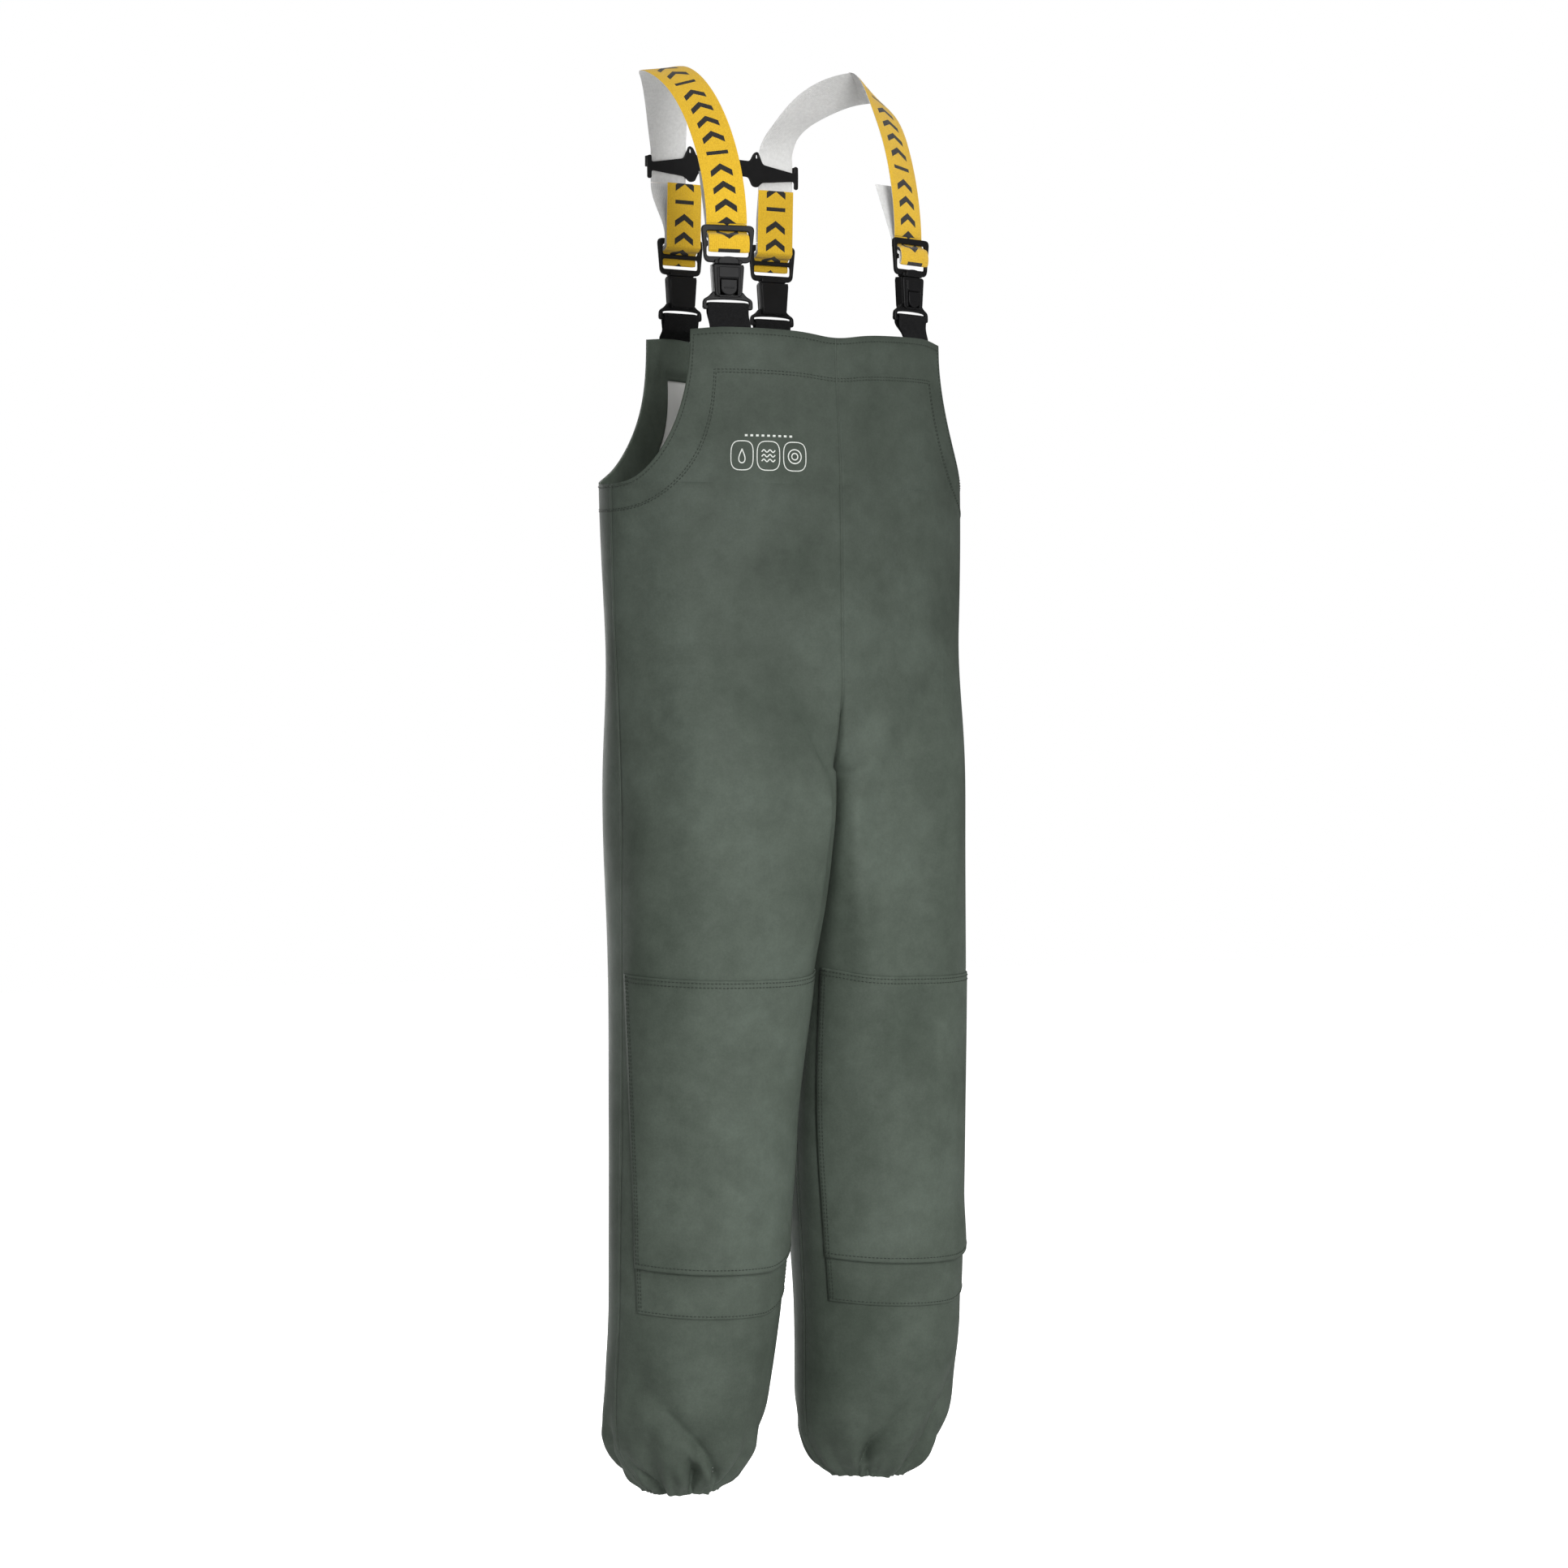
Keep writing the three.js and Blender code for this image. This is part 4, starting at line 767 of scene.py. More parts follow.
def add_knee_pocket(side):
    """The knee patch with its free lower edge, and the band that closes the pocket below it."""
    column = np.linspace(0, 1, 70)[None, :]
    sag = pocket_sag(side, column)
    fall = np.linspace(0, 1, 150)[:, None]
    level = PATCH_TOP + (PATCH_BOTTOM - PATCH_TOP) * fall - sag * smooth_step(fall, 0.6, 1.0)
    level = level - patch_top_sag(side, column) * smooth_step(fall, 0.4, 0.0)
    share = patch_share(level, column)
    lift = patch_lift(share, level, column)
    outer = cloth_point("front", side, share, level, -(lift + FACING))
    inner = cloth_point("front", side, share, level, -lift)
    vertices, quads, picks = shell_arrays(outer, inner)
    materials = (CLOTH_MATERIAL, LINING_MATERIAL)
    piece = add_piece(f"knee_panel_{side}", vertices, outward(vertices, quads), materials, picks)
    belong(piece, "garment", "cloth", f"knee_patch_{side}")
    fall = np.linspace(0, 1, 40)[:, None]
    level = PATCH_BOTTOM + 0.02 + (BAND_BOTTOM - PATCH_BOTTOM - 0.02) * fall - sag * fall
    share = patch_share(level, column)
    outer = cloth_point("front", side, share, level, np.full(share.shape, -0.0014))
    inner = cloth_point("front", side, share, level, np.full(share.shape, -0.0003))
    vertices, quads, _ = shell_arrays(outer, inner)
    band = add_piece(f"pocket_band_{side}", vertices, outward(vertices, quads), [CLOTH_MATERIAL])
    belong(band, "garment", "cloth", f"knee_band_{side}")


CASING_WALL = 0.0026
ELASTIC_THICKNESS = 0.0010
ELASTIC_WIDTH = 0.0100
ELASTIC_LEVEL = 0.0085
ELASTIC_GAP = 0.0021


def squared(value, power):
    """A cosine or sine pushed towards a square corner; a lower power is squarer."""
    return np.sign(value) * np.abs(value) ** power


def add_ankle(side):
    """The gathered casing at the ankle, a ring whose wall ripples with the pleats, and its elastic."""
    node = f"hem_casing_{side}"
    centre = (low(node) + high(node)) / 2
    turn = np.linspace(0, 2 * np.pi, 300, endpoint=False)[None, :]
    height = high(node)[2] - low(node)[2]
    loop = np.linspace(0, 2 * np.pi, 28, endpoint=False)[:, None]
    wall = HEM_RADIUS - CASING_WALL + CASING_WALL * squared(np.cos(loop), 0.6)
    rise = height / 2 + (height / 2 - 0.001) * squared(np.sin(loop), 0.6)
    ripple = 0.0014 * np.sin(34 * turn + 2 * np.sin(3 * turn)) + 0.0007 * np.sin(61 * turn)
    ring = wall + ripple * (0.4 + 0.6 * np.sin(loop / 2))
    x = centre[0] + ring * np.cos(turn)
    y = centre[1] + ring * np.sin(turn)
    z = low(node)[2] + rise + 0.0006 * np.sin(17 * turn)
    points = np.stack([x, y, np.broadcast_to(z, x.shape)], -1)
    wrapped = np.concatenate([points, points[:1]])
    rows, columns = wrapped.shape[:2]
    quads = grid_quads(rows, columns, closed=True) % (len(loop) * columns)
    vertices = points.reshape(-1, 3)
    piece = add_piece(f"ankle_hem_{side}", vertices, outward(vertices, quads), [CLOTH_MATERIAL])
    belong(piece, "garment", "cloth", node)
    inside = HEM_RADIUS - 2 * CASING_WALL - ELASTIC_GAP
    ring = inside + ELASTIC_THICKNESS / 2 * squared(np.cos(loop), 0.4) + 0.4 * ripple
    rise = ELASTIC_LEVEL + ELASTIC_WIDTH / 2 * squared(np.sin(loop), 0.2)
    points = np.stack([centre[0] + ring * np.cos(turn), centre[1] + ring * np.sin(turn),
                       np.broadcast_to(low(node)[2] + rise, ring.shape)], -1)
    vertices = points.reshape(-1, 3)
    tape = add_piece(f"ankle_elastic_{side}", vertices, outward(vertices, quads), [ELASTIC_MATERIAL])
    belong(tape, "garment", "elastic", f"hem_elastic_{side}")


for side in SIDES:
    for face in FACES:
        add_panel(face, side)
        add_facing(face, side)
    add_knee_pocket(side)
    add_ankle(side)

# ---------------------------------------------------------------- stitching and seams


def along_line(points, spacing):
    """Places evenly spaced along a line of points, and the direction at each."""
    step = np.linalg.norm(np.diff(points, axis=0), axis=1)
    length = np.concatenate([[0], np.cumsum(step)])
    at = np.arange(spacing / 2, length[-1], spacing)
    places = np.stack([np.interp(at, length, points[:, k]) for k in range(3)], -1)
    ahead = np.stack([np.interp(at + spacing / 4, length, points[:, k]) for k in range(3)], -1)
    behind = np.stack([np.interp(at - spacing / 4, length, points[:, k]) for k in range(3)], -1)
    direction = ahead - behind
    return places, direction / np.linalg.norm(direction, axis=1, keepdims=True)


def stitch_arrays(points, normals_at, spacing=0.0042, length=0.0028, thick=0.0008):
    """Stitches along a line: each is a short six-sided bead that dips into the cloth at its ends."""
    places, along = along_line(points, spacing)
    normal = normals_at(places)
    across = np.cross(normal, along)
    across /= np.linalg.norm(across, axis=1, keepdims=True)
    stops = np.array([-0.5, -0.32, 0.32, 0.5]) * length
    girth = np.array([0.45, 1.0, 1.0, 0.45]) * thick / 2
    dip = np.array([-0.35, 0.25, 0.25, -0.35]) * thick
    turn = np.linspace(0, 2 * np.pi, 6, endpoint=False)
    ring_across = girth[:, None] * np.cos(turn)
    ring_up = girth[:, None] * np.sin(turn) + dip[:, None]
    vertices = (
        places[:, None, None]
        + stops[None, :, None, None] * along[:, None, None]
        + ring_across[None, ..., None] * across[:, None, None]
        + ring_up[None, ..., None] * normal[:, None, None]
    ).reshape(-1, 3)
    quads = grid_quads(4, 6, closed=True)
    caps = np.array([[3, 2, 1, 0], [5, 4, 3, 0], [18, 19, 20, 21], [18, 21, 22, 23]])
    one = np.concatenate([quads, caps])
    count = len(places)
    return vertices, (one[None] + 24 * np.arange(count)[:, None, None]).reshape(-1, 4)


def seam_line(face, side, share, level, lift):
    """Points of a line on the cloth, lifted off it."""
    return cloth_point(face, side, share, level, -np.asarray(np.broadcast_to(lift, np.shape(share)), float))


def normal_for(face, side, share, level):
    """A function that gives the cloth's outward direction at places near a line on it."""
    line = cloth_point(face, side, share, level)
    normals = base_normal(face, side, share, level)

    def nearest(places):
        gap = np.linalg.norm(places[:, None] - line[None], axis=-1)
        return normals[gap.argmin(1)]

    return nearest


def stitch_lines():
    """Every stitched line: face, side, share, level and lift along it."""
    for side in SIDES:
        for face in FACES:
            for inset in (0.14, 1.0, 1.07):
                share, level = facing_edge(face, inset)
                yield face, side, share, level, 0.0001
        column = np.linspace(0, 1, 60)
        rise = np.linspace(0, 1, 90)
        sag = pocket_sag(side, column)
        for inset in (0.003, 0.0075):
            level = PATCH_TOP - inset - patch_top_sag(side, column)
            yield "front", side, patch_share(level, column), level, 0.0016
            for edge in (0.008 + inset * 3, 0.992 - inset * 3):
                ends = patch_top_sag(side, edge), pocket_sag(side, edge)
                level = PATCH_TOP - ends[0] + (BAND_BOTTOM + 0.004 - ends[1] - PATCH_TOP + ends[0]) * rise
                share = patch_share(level, edge)
                on_patch = patch_lift(share, level, edge) + FACING
                lift = np.where(level > PATCH_BOTTOM - ends[1], on_patch, 0.0014)
                yield "front", side, share, level, lift + 0.0001
        level = PATCH_BOTTOM + 0.005 - sag
        share = patch_share(level, column)
        yield "front", side, share, level, patch_lift(share, level, column) + FACING + 0.0001
        level = BAND_BOTTOM + 0.003 - sag
        yield "front", side, patch_share(level, column), level, 0.0015


def add_stitching():
    """All the stitches of the cloth as one piece of thread."""
    vertices, quads, start = [], [], 0
    for face, side, share, level, lift in stitch_lines():
        line = seam_line(face, side, share, level, lift)
        made, faces = stitch_arrays(line, normal_for(face, side, share, level))
        vertices.append(made)
        quads.append(faces + start)
        start += len(made)
    piece = add_piece("stitching", np.concatenate(vertices), np.concatenate(quads), [THREAD_MATERIAL])
    belong(piece, "garment", "cloth")


SEAM_HEIGHT = 0.0011
SEAM_DIP = 0.0006


def add_seam_ridge(name, face, side, share, level, half_width):
    """A low rounded ridge along a seam: a half-round profile swept along the line."""
    line = seam_line(face, side, share, level, -SEAM_DIP)
    normal = base_normal(face, side, share, level)
    along = np.gradient(line, axis=0)
    along /= np.linalg.norm(along, axis=1, keepdims=True)
    across = np.cross(normal, along)
    turn = np.linspace(0, 2 * np.pi, 10, endpoint=False)
    half_width = np.broadcast_to(half_width, level.shape)[:, None, None]
    points = (
        line[:, None]
        + half_width * np.cos(turn)[None, :, None] * across[:, None]
        + SEAM_HEIGHT * np.sin(turn)[None, :, None] * normal[:, None]
    )
    rows, columns = points.shape[:2]
    quads = grid_quads(rows, columns, closed=True)
    first = np.arange(columns)
    last = first + (rows - 1) * columns
    ends = (first[::-1], last)
    caps = [[ring[0], ring[k], ring[k + 1], ring[k + 2]] for ring in ends for k in (1, 3, 5, 7)]
    vertices = points.reshape(-1, 3)
    quads = np.concatenate([outward(vertices, quads), np.array(caps)])
    piece = add_piece(name, vertices, quads, [CLOTH_MATERIAL])
    belong(piece, "garment", "cloth")


def add_seams():
    """Side seams and inseams of both legs and the rise seams at the middle."""
    for side in SIDES:
        level = np.linspace(ARMHOLE_BOTTOM - 0.002, HEM + 0.05, 260)
        add_seam_ridge(f"side_seam_{side}", "back", side, np.full(260, 0.995), level, 0.0024)
        level = np.linspace(CROTCH - 0.004, HEM + 0.05, 240)
        add_seam_ridge(f"inseam_{side}", "back", side, np.zeros(240), level, 0.0020)
    for face in FACES:
        level = np.linspace(BIB_TOP - 0.001, CROTCH + 0.004, 200)
        add_seam_ridge(f"rise_seam_{face}", face, "right", np.zeros(200), level,
                       0.0014 + 0.0022 * smooth_step(level, CROTCH + 0.08, CROTCH + 0.02))


add_stitching()
add_seams()


def symbol_strokes():
    """Three plain outlined badges and a dotted line above them, as closed or open strokes on a flat."""
    strokes = []
    turn = np.linspace(0, 2 * np.pi, 49)
    square = 3.2
    rim_x = squared(np.cos(turn), 2 / square)
    rim_y = squared(np.sin(turn), 2 / square)
    for k in (-1, 0, 1):
        strokes.append((k * 0.0305 + 0.0130 * rim_x, 0.0155 * rim_y, 0.0010))
    drop = np.linspace(0, 2 * np.pi, 41)
    drop_x = 0.0052 * np.sin(drop) * np.sin(drop / 2) ** 1.5
    strokes.append((-0.0305 + drop_x, 0.0075 * np.cos(drop) - 0.0005, 0.0012))
    wave = np.linspace(-1, 1, 33)
    for rise in (-0.0050, 0.0, 0.0050):
        strokes.append((0.0078 * wave, rise + 0.0013 * np.sin(wave * 7.0), 0.0012))
    for radius in (0.0075, 0.0035):
        strokes.append((0.0305 + radius * np.cos(turn), radius * np.sin(turn), 0.0012))
    for place in np.linspace(-0.026, 0.026, 9):
        strokes.append((place + np.array([-0.0016, 0.0016]), np.full(2, 0.0215), 0.0022))
    return strokes


def add_print():
    """The pale print on the chest: flat strokes laid just above the cloth."""
    centre_share, centre_level = 0.255, BIB_TOP - 0.137
    quarter = 0.330
    vertices, quads, start = [], [], 0
    for across, rise, width in symbol_strokes():
        heading = np.stack([np.gradient(across), np.gradient(rise)], -1)
        heading /= np.linalg.norm(heading, axis=1, keepdims=True) + 1e-12
        offset = np.stack([-heading[:, 1], heading[:, 0]], -1) * width / 2
        for sign in (-1, 1):
            share = centre_share - (across + sign * offset[:, 0]) / quarter
            level = centre_level + rise + sign * offset[:, 1]
            vertices.append(cloth_point("front", "right", share, level, np.full(share.shape, -0.00025)))
        count = len(across)
        k = np.arange(count - 1)
        quads.append(start + np.stack([k, k + 1, k + 1 + count, k + count], -1))
        start += 2 * count
    piece = add_piece("chest_print", np.concatenate(vertices), np.concatenate(quads), [PRINT_MATERIAL])
    belong(piece, "garment", "cloth")


add_print()

# ---------------------------------------------------------------- straps and webbing


def spline(points, steps):
    """A smooth line through points, as a centripetal Catmull-Rom curve."""
    points = np.asarray(points, float)
    padded = np.concatenate([2 * points[:1] - points[1:2], points, 2 * points[-1:] - points[-2:-1]])
    knots = np.concatenate([[0], np.cumsum(np.linalg.norm(np.diff(padded, axis=0), axis=1) ** 0.5)])
    line = []
    for i in range(1, len(padded) - 2):
        t = np.linspace(knots[i], knots[i + 1], steps, endpoint=i == len(padded) - 3)[:, None]
        t0, t1, t2, t3 = knots[i - 1:i + 3]
        a1 = (t1 - t) / (t1 - t0) * padded[i - 1] + (t - t0) / (t1 - t0) * padded[i]
        a2 = (t2 - t) / (t2 - t1) * padded[i] + (t - t1) / (t2 - t1) * padded[i + 1]
        a3 = (t3 - t) / (t3 - t2) * padded[i + 1] + (t - t2) / (t3 - t2) * padded[i + 2]
        b1 = (t2 - t) / (t2 - t0) * a1 + (t - t0) / (t2 - t0) * a2
        b2 = (t3 - t) / (t3 - t1) * a2 + (t - t1) / (t3 - t1) * a3
        line.append((t2 - t) / (t2 - t1) * b1 + (t - t1) / (t2 - t1) * b2)
    return np.concatenate(line)


HALF_WIDTHS = np.linspace(-1, 1, 14)


def strip(line, across, width=WEBBING_WIDTH):
    """The middle surface of a flat band: places along a line, each with 14 points across."""
    along = np.gradient(line, axis=0)
    along /= np.linalg.norm(along, axis=1, keepdims=True)
    across = across - along * np.einsum("ij,ij->i", across, along)[:, None]
    across /= np.linalg.norm(across, axis=1, keepdims=True)
    return line[:, None] + HALF_WIDTHS[None, :, None] * width / 2 * across[:, None]


def add_band(name, middle, materials, start=0.0, thick=WEBBING):
    """Makes a band piece about a middle surface and returns it with the length where it ends.

    The first material is on the face to which along x across points; the section is a thin
    bar with rounded edges, 14 points over that face and 14 back under the other.
    """
    along = np.gradient(middle, axis=0)
    across = np.gradient(middle, axis=1)
    up = np.cross(along, across)
    up /= np.linalg.norm(up, axis=-1, keepdims=True)
    lift = (1 - np.abs(HALF_WIDTHS) ** 14) * 0.5 + 0.12 * (np.abs(HALF_WIDTHS) == 1)
    lift = lift[None, :, None] * thick
    points = np.concatenate([middle + up * lift, (middle - up * lift)[:, ::-1]], 1)
    rows, columns = points.shape[:2]
    quads = grid_quads(rows, columns, closed=True)
    picks = np.tile((np.arange(columns) >= 13).astype(int), rows - 1)
    line = middle.mean(1)
    length = np.concatenate([[0], np.cumsum(np.linalg.norm(np.diff(line, axis=0), axis=1))]) + start
    v = np.concatenate([HALF_WIDTHS, HALF_WIDTHS[::-1]]) / 2 + 0.5
    uvs = np.stack(np.broadcast_arrays(length[:, None], v[None, :]), -1).reshape(-1, 2)
    k = np.arange(13)
    cap = np.stack([k, k + 1, 26 - k, 27 - k], -1)
    quads = np.concatenate([quads, cap, cap[:, ::-1] + (rows - 1) * columns])
    picks = np.concatenate([picks, np.zeros(26, int)]) if len(materials) > 1 else None
    vertices = points.reshape(-1, 3)
    piece = add_piece(name, vertices, outward(vertices, quads), materials, picks, uvs)
    piece.data.set_sharp_from_angle(angle=math.radians(60))
    return piece, length[-1]


CLIP_YAW = {"front": 15, "back": 2}
TAIL_LEAN = {"front": 0.024, "back": 0.002}
FRONT_TAIL_PRINT = -0.25
BACK_RUN_SETBACK = 0.012


class Clip:
    """Where one clip stands: its centre, its outward and sideways directions and its names."""

    def __init__(self, face, side):
        self.key = f"{face}_{side}"
        self.face, self.side = face, side
        node = f"adjuster_{self.key}"
        self.yaw = math.radians(CLIP_YAW[face]) * SIGN[side]
        turn = math.pi + self.yaw if face == "front" else -self.yaw
        self.across = np.array([math.cos(turn), math.sin(turn), 0])
        self.outward = np.array([-math.sin(turn), math.cos(turn), 0])
        self.up = np.array([0.0, 0.0, 1.0])
        centre = (low(node) + high(node)) / 2
        self.centre = np.array([centre[0], centre[1], high(node)[2] - FRAME_HEIGHT / 2])
        self.centre += 0.0002 * self.outward

    def place(self, local):
        """Points given as across, outwards and up, moved to the clip."""
        local = np.asarray(local, float)
        return (
            self.centre
            + local[..., :1] * self.across
            + local[..., 1:2] * self.outward
            + local[..., 2:3] * self.up
        )


FRAME_WIDTH = 0.060
FRAME_HEIGHT = 0.040
FRAME_THICKNESS = 0.004
RAIL = 0.0064
MIDDLE_BAR = 0.0046
FIT = 0.0004
HALF_FRAME = FRAME_THICKNESS / 2
FRAME_TOP = FRAME_HEIGHT / 2
BEHIND_FRAME = -HALF_FRAME - FIT - WEBBING / 2 - 0.0003
BEHIND_STRAP = BEHIND_FRAME - WEBBING - FIT
OVER_BAR = HALF_FRAME + FIT + WEBBING / 2 + 0.0002
HOUSING_TOP = -FRAME_TOP - 0.002
HOUSING_BOTTOM = HOUSING_TOP - 0.034
SLOT_TOP = HOUSING_BOTTOM - 0.0045
BAR_TOP = SLOT_TOP - 0.0046
BAR_BOTTOM = BAR_TOP - 0.0046
SLOT_HALF = WEBBING_WIDTH / 2 + 0.0009
TAIL_RISE = 0.060
SHOULDER_HALF_SPAN = 0.130
STRAP_ROUNDNESS = 1.75
SHOULDER_YAW = 0.38
SHOULDER_ROLL = {"right": 0.12, "left": 0.72}
YOKE_CENTRE = (low("yoke") + high("yoke")) / 2
YOKE_STRAP_OFFSET = 0.070
YOKE_STRAP_TOP = YOKE_CENTRE[2] + 0.014
YOKE_STRAP_BOTTOM = low("strap_shoulder_right")[2]

clips = {(face, side): Clip(face, side) for face in FACES for side in SIDES}


def clip_strip(clip, points):
    """The middle surface of a band in a clip's own plane, through points of outwards and height."""
    line = clip.place(spline([(0.0, outwards, height) for outwards, height in points], 9))
    return strip(line, np.broadcast_to(-clip.across, line.shape))


def add_tail(clip, start):
    """The strap's loop out through the upper window and back over the middle bar, and its tail."""
    lean = TAIL_LEAN[clip.face]
    tail = BEHIND_STRAP - 0.0014
    points = [
        (BEHIND_FRAME, FRAME_TOP + 0.002), (BEHIND_FRAME, FRAME_TOP - RAIL + 0.0015),
        (BEHIND_FRAME + 0.0012, 0.0122), (0.0006, 0.0105), (OVER_BAR + 0.0010, 0.0082),
        (OVER_BAR + 0.0028, 0.0030), (OVER_BAR + 0.0031, -0.0030), (OVER_BAR + 0.0022, -0.0076),
        (OVER_BAR + 0.0010, -0.0088), (OVER_BAR, -0.0072), (OVER_BAR, -0.0020), (OVER_BAR - 0.0004, 0.0028),
        (0.0006, 0.0056), (BEHIND_FRAME - 0.0002, 0.0072), (tail, 0.0108),
        (tail, FRAME_TOP - 0.004), (tail - lean * 0.36, FRAME_TOP + TAIL_RISE * 0.34),
        (tail - lean, FRAME_TOP + TAIL_RISE),
    ]
    materials = (STRAP_MATERIAL, STRAP_INNER_MATERIAL)
    piece, _ = add_band(f"tail_{clip.key}", clip_strip(clip, points), materials, start)
    belong(piece, f"clip_{clip.key}", "strap", f"strap_tail_{clip.key}")


def add_stub(clip):
    """The doubled black webbing: flat over the loop's bar, then following the cloth behind the facing."""
    layer = WEBBING / 2 + FIT
    bend = HALF_FRAME + FIT + WEBBING / 2
    bottom = BIB_TOP - STUB_SEWN - clip.centre[2]
    points = [
        (-layer, bottom), (-layer, BAR_BOTTOM - 0.019), (-layer, BAR_BOTTOM - 0.013),
        (-bend, BAR_BOTTOM - 0.001), (-bend, BAR_TOP + 0.0005), (0, BAR_TOP + FIT + WEBBING / 2 + 0.0013),
        (bend, BAR_TOP + 0.0005), (bend, BAR_BOTTOM - 0.001), (layer, BAR_BOTTOM - 0.013),
        (layer, BAR_BOTTOM - 0.019), (layer, bottom),
    ]
    middle = clip_strip(clip, points)
    level = middle[..., 2]
    front = np.arange(len(middle)) > len(middle) / 2
    depth = CLOTH + WEBBING * np.where(front, 0.6, 1.7)[:, None] + np.zeros_like(level)
    around = STUB_SHARE[clip.face]
    step = np.linalg.norm(base_point(clip.face, clip.side, around + 0.05, BIB_TOP)
                          - base_point(clip.face, clip.side, around - 0.05, BIB_TOP)) / 0.10
    toward_side = np.sign(-clip.across[0] * SIGN[clip.side])
    share = around + toward_side * HALF_WIDTHS * WEBBING_WIDTH / 2 / step + np.zeros_like(level)
    sewn = cloth_point(clip.face, clip.side, share, level, depth)
    joined = smooth_step(level, BIB_TOP + 0.016, BIB_TOP - 0.001)[..., None]
    piece, _ = add_band(f"webbing_{clip.key}", middle + (sewn - middle) * joined, (WEBBING_MATERIAL,))
    belong(piece, "garment", "webbing", f"webbing_stub_{clip.key}")


def width_direction(side, yaw, roll=0.0):
    """The strap's width direction, towards the wearer's right; roll lifts the edge next to the neck."""
    yaw, roll = np.broadcast_arrays(np.asarray(yaw, float), roll)
    level = np.stack([-np.cos(yaw), -np.sin(yaw) * SIGN[side], np.zeros_like(yaw)], -1)
    return level * np.cos(roll)[..., None] + np.sin(roll)[..., None] * np.array([0, 0, SIGN[side]])


def shoulder_curve(side, end, yaw, steps, behind=False):
    """The strap from a low end up to the shoulder, as a quarter of a rounded curve."""
    power = 2 / STRAP_ROUNDNESS
    angle = np.linspace(0, np.pi / 2, steps)
    rise = np.sin(angle) ** power
    level = 1 - np.cos(angle) ** power
    x = end[0] * SIGN[side] + (SHOULDER_HALF_SPAN - end[0] * SIGN[side]) * level
    y = end[1] + (0.0 - end[1]) * level
    z = end[2] + (WEBBING / 2 - end[2]) * rise
    line = np.stack([x * SIGN[side], y, z], -1)
    rolled = smooth_step(rise, 0.35, 0.95) if behind else smooth_step(level, 0.30, 1.0)
    roll = SHOULDER_ROLL[side] * rolled
    return line, width_direction(side, yaw + (SHOULDER_YAW - yaw) * rise, roll)


def resampled(line, across, step=0.003):
    """A line and its width directions at even spacing."""
    length = np.concatenate([[0], np.cumsum(np.linalg.norm(np.diff(line, axis=0), axis=1))])
    at = np.linspace(0, length[-1], max(2, int(length[-1] / step)))
    return [np.stack([np.interp(at, length, array[:, k]) for k in range(3)], -1) for array in (line, across)]


def add_strap(side):
    """One strap in three runs: up from the front clip, over the shoulder, and down to the back clip."""
    front, back = clips["front", side], clips["back", side]
    ends = {}
    for clip in (front, back):
        ends[clip.face] = clip.place([0, BEHIND_FRAME, FRAME_TOP + 0.0022])
    depth = ends["back"][1] + BACK_RUN_SETBACK
    rising, rising_across = shoulder_curve(side, ends["front"], abs(front.yaw), 90)
    yoke_end = np.array([YOKE_STRAP_OFFSET * SIGN[side], depth, YOKE_STRAP_TOP])
    falling, falling_across = shoulder_curve(side, yoke_end, 0.0, 70, behind=True)
    bottom = np.array([[yoke_end[0], depth, YOKE_STRAP_BOTTOM]])
    over = np.concatenate([rising, falling[-2::-1], bottom])
    over_across = np.concatenate([rising_across, falling_across[-2::-1], width_direction(side, [0.0])])
    split = high(f"strap_front_{side}")[2] - 0.004
    cut = int(np.argmax(over[:, 2] > split))
    materials = (STRAP_MATERIAL, STRAP_INNER_MATERIAL)
    lower, lower_across = resampled(over[: cut + 1], over_across[: cut + 1])
    piece, end = add_band(f"run_front_{side}", strip(lower, lower_across), materials)
    belong(piece, "harness", "strap", f"strap_front_{side}")
    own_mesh(piece)
    upper, upper_across = resampled(over[cut:], over_across[cut:])
    piece, end = add_band(f"run_shoulder_{side}", strip(upper, upper_across), materials, end)
    belong(piece, "harness", "strap", f"strap_shoulder_{side}")
    t = np.linspace(0, 1, 40)
    ease = t * t * (3 - 2 * t)
    top = bottom[0]
    foot = ends["back"]
    line = np.stack([top[0] + (foot[0] - top[0]) * ease, top[1] + (foot[1] - top[1]) * ease,
                     top[2] + (foot[2] - top[2]) * t], -1)
    line, across = resampled(line, width_direction(side, -abs(back.yaw) * ease))
    piece, end = add_band(f"run_back_{side}", strip(line, across), materials, end)
    belong(piece, "harness", "strap", f"strap_back_{side}")
    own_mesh(piece)
    add_tail(front, FRONT_TAIL_PRINT)
    add_tail(back, end)


for clip in clips.values():
    add_stub(clip)
for side in SIDES:
    add_strap(side)

# ---------------------------------------------------------------- moulded parts


def rounded(points, radius, steps=5):
    """A closed outline with its corners rounded by short arcs."""
    points = np.asarray(points, float)
    outline = []
    for i, corner in enumerate(points):
        before, after = points[i - 1] - corner, points[(i + 1) % len(points)] - corner
        reach = min(radius, np.linalg.norm(before) / 2.02, np.linalg.norm(after) / 2.02)
        start = corner + before / np.linalg.norm(before) * reach
        end = corner + after / np.linalg.norm(after) * reach
        for t in np.linspace(0, 1, steps):
            outline.append((1 - t) ** 2 * start + 2 * t * (1 - t) * corner + t * t * end)
    return np.array(outline)


def area_of(outline):
    """Signed area of a closed outline."""
    x, y = outline[:, 0], outline[:, 1]
    return 0.5 * np.sum(x * np.roll(y, -1) - np.roll(x, -1) * y)


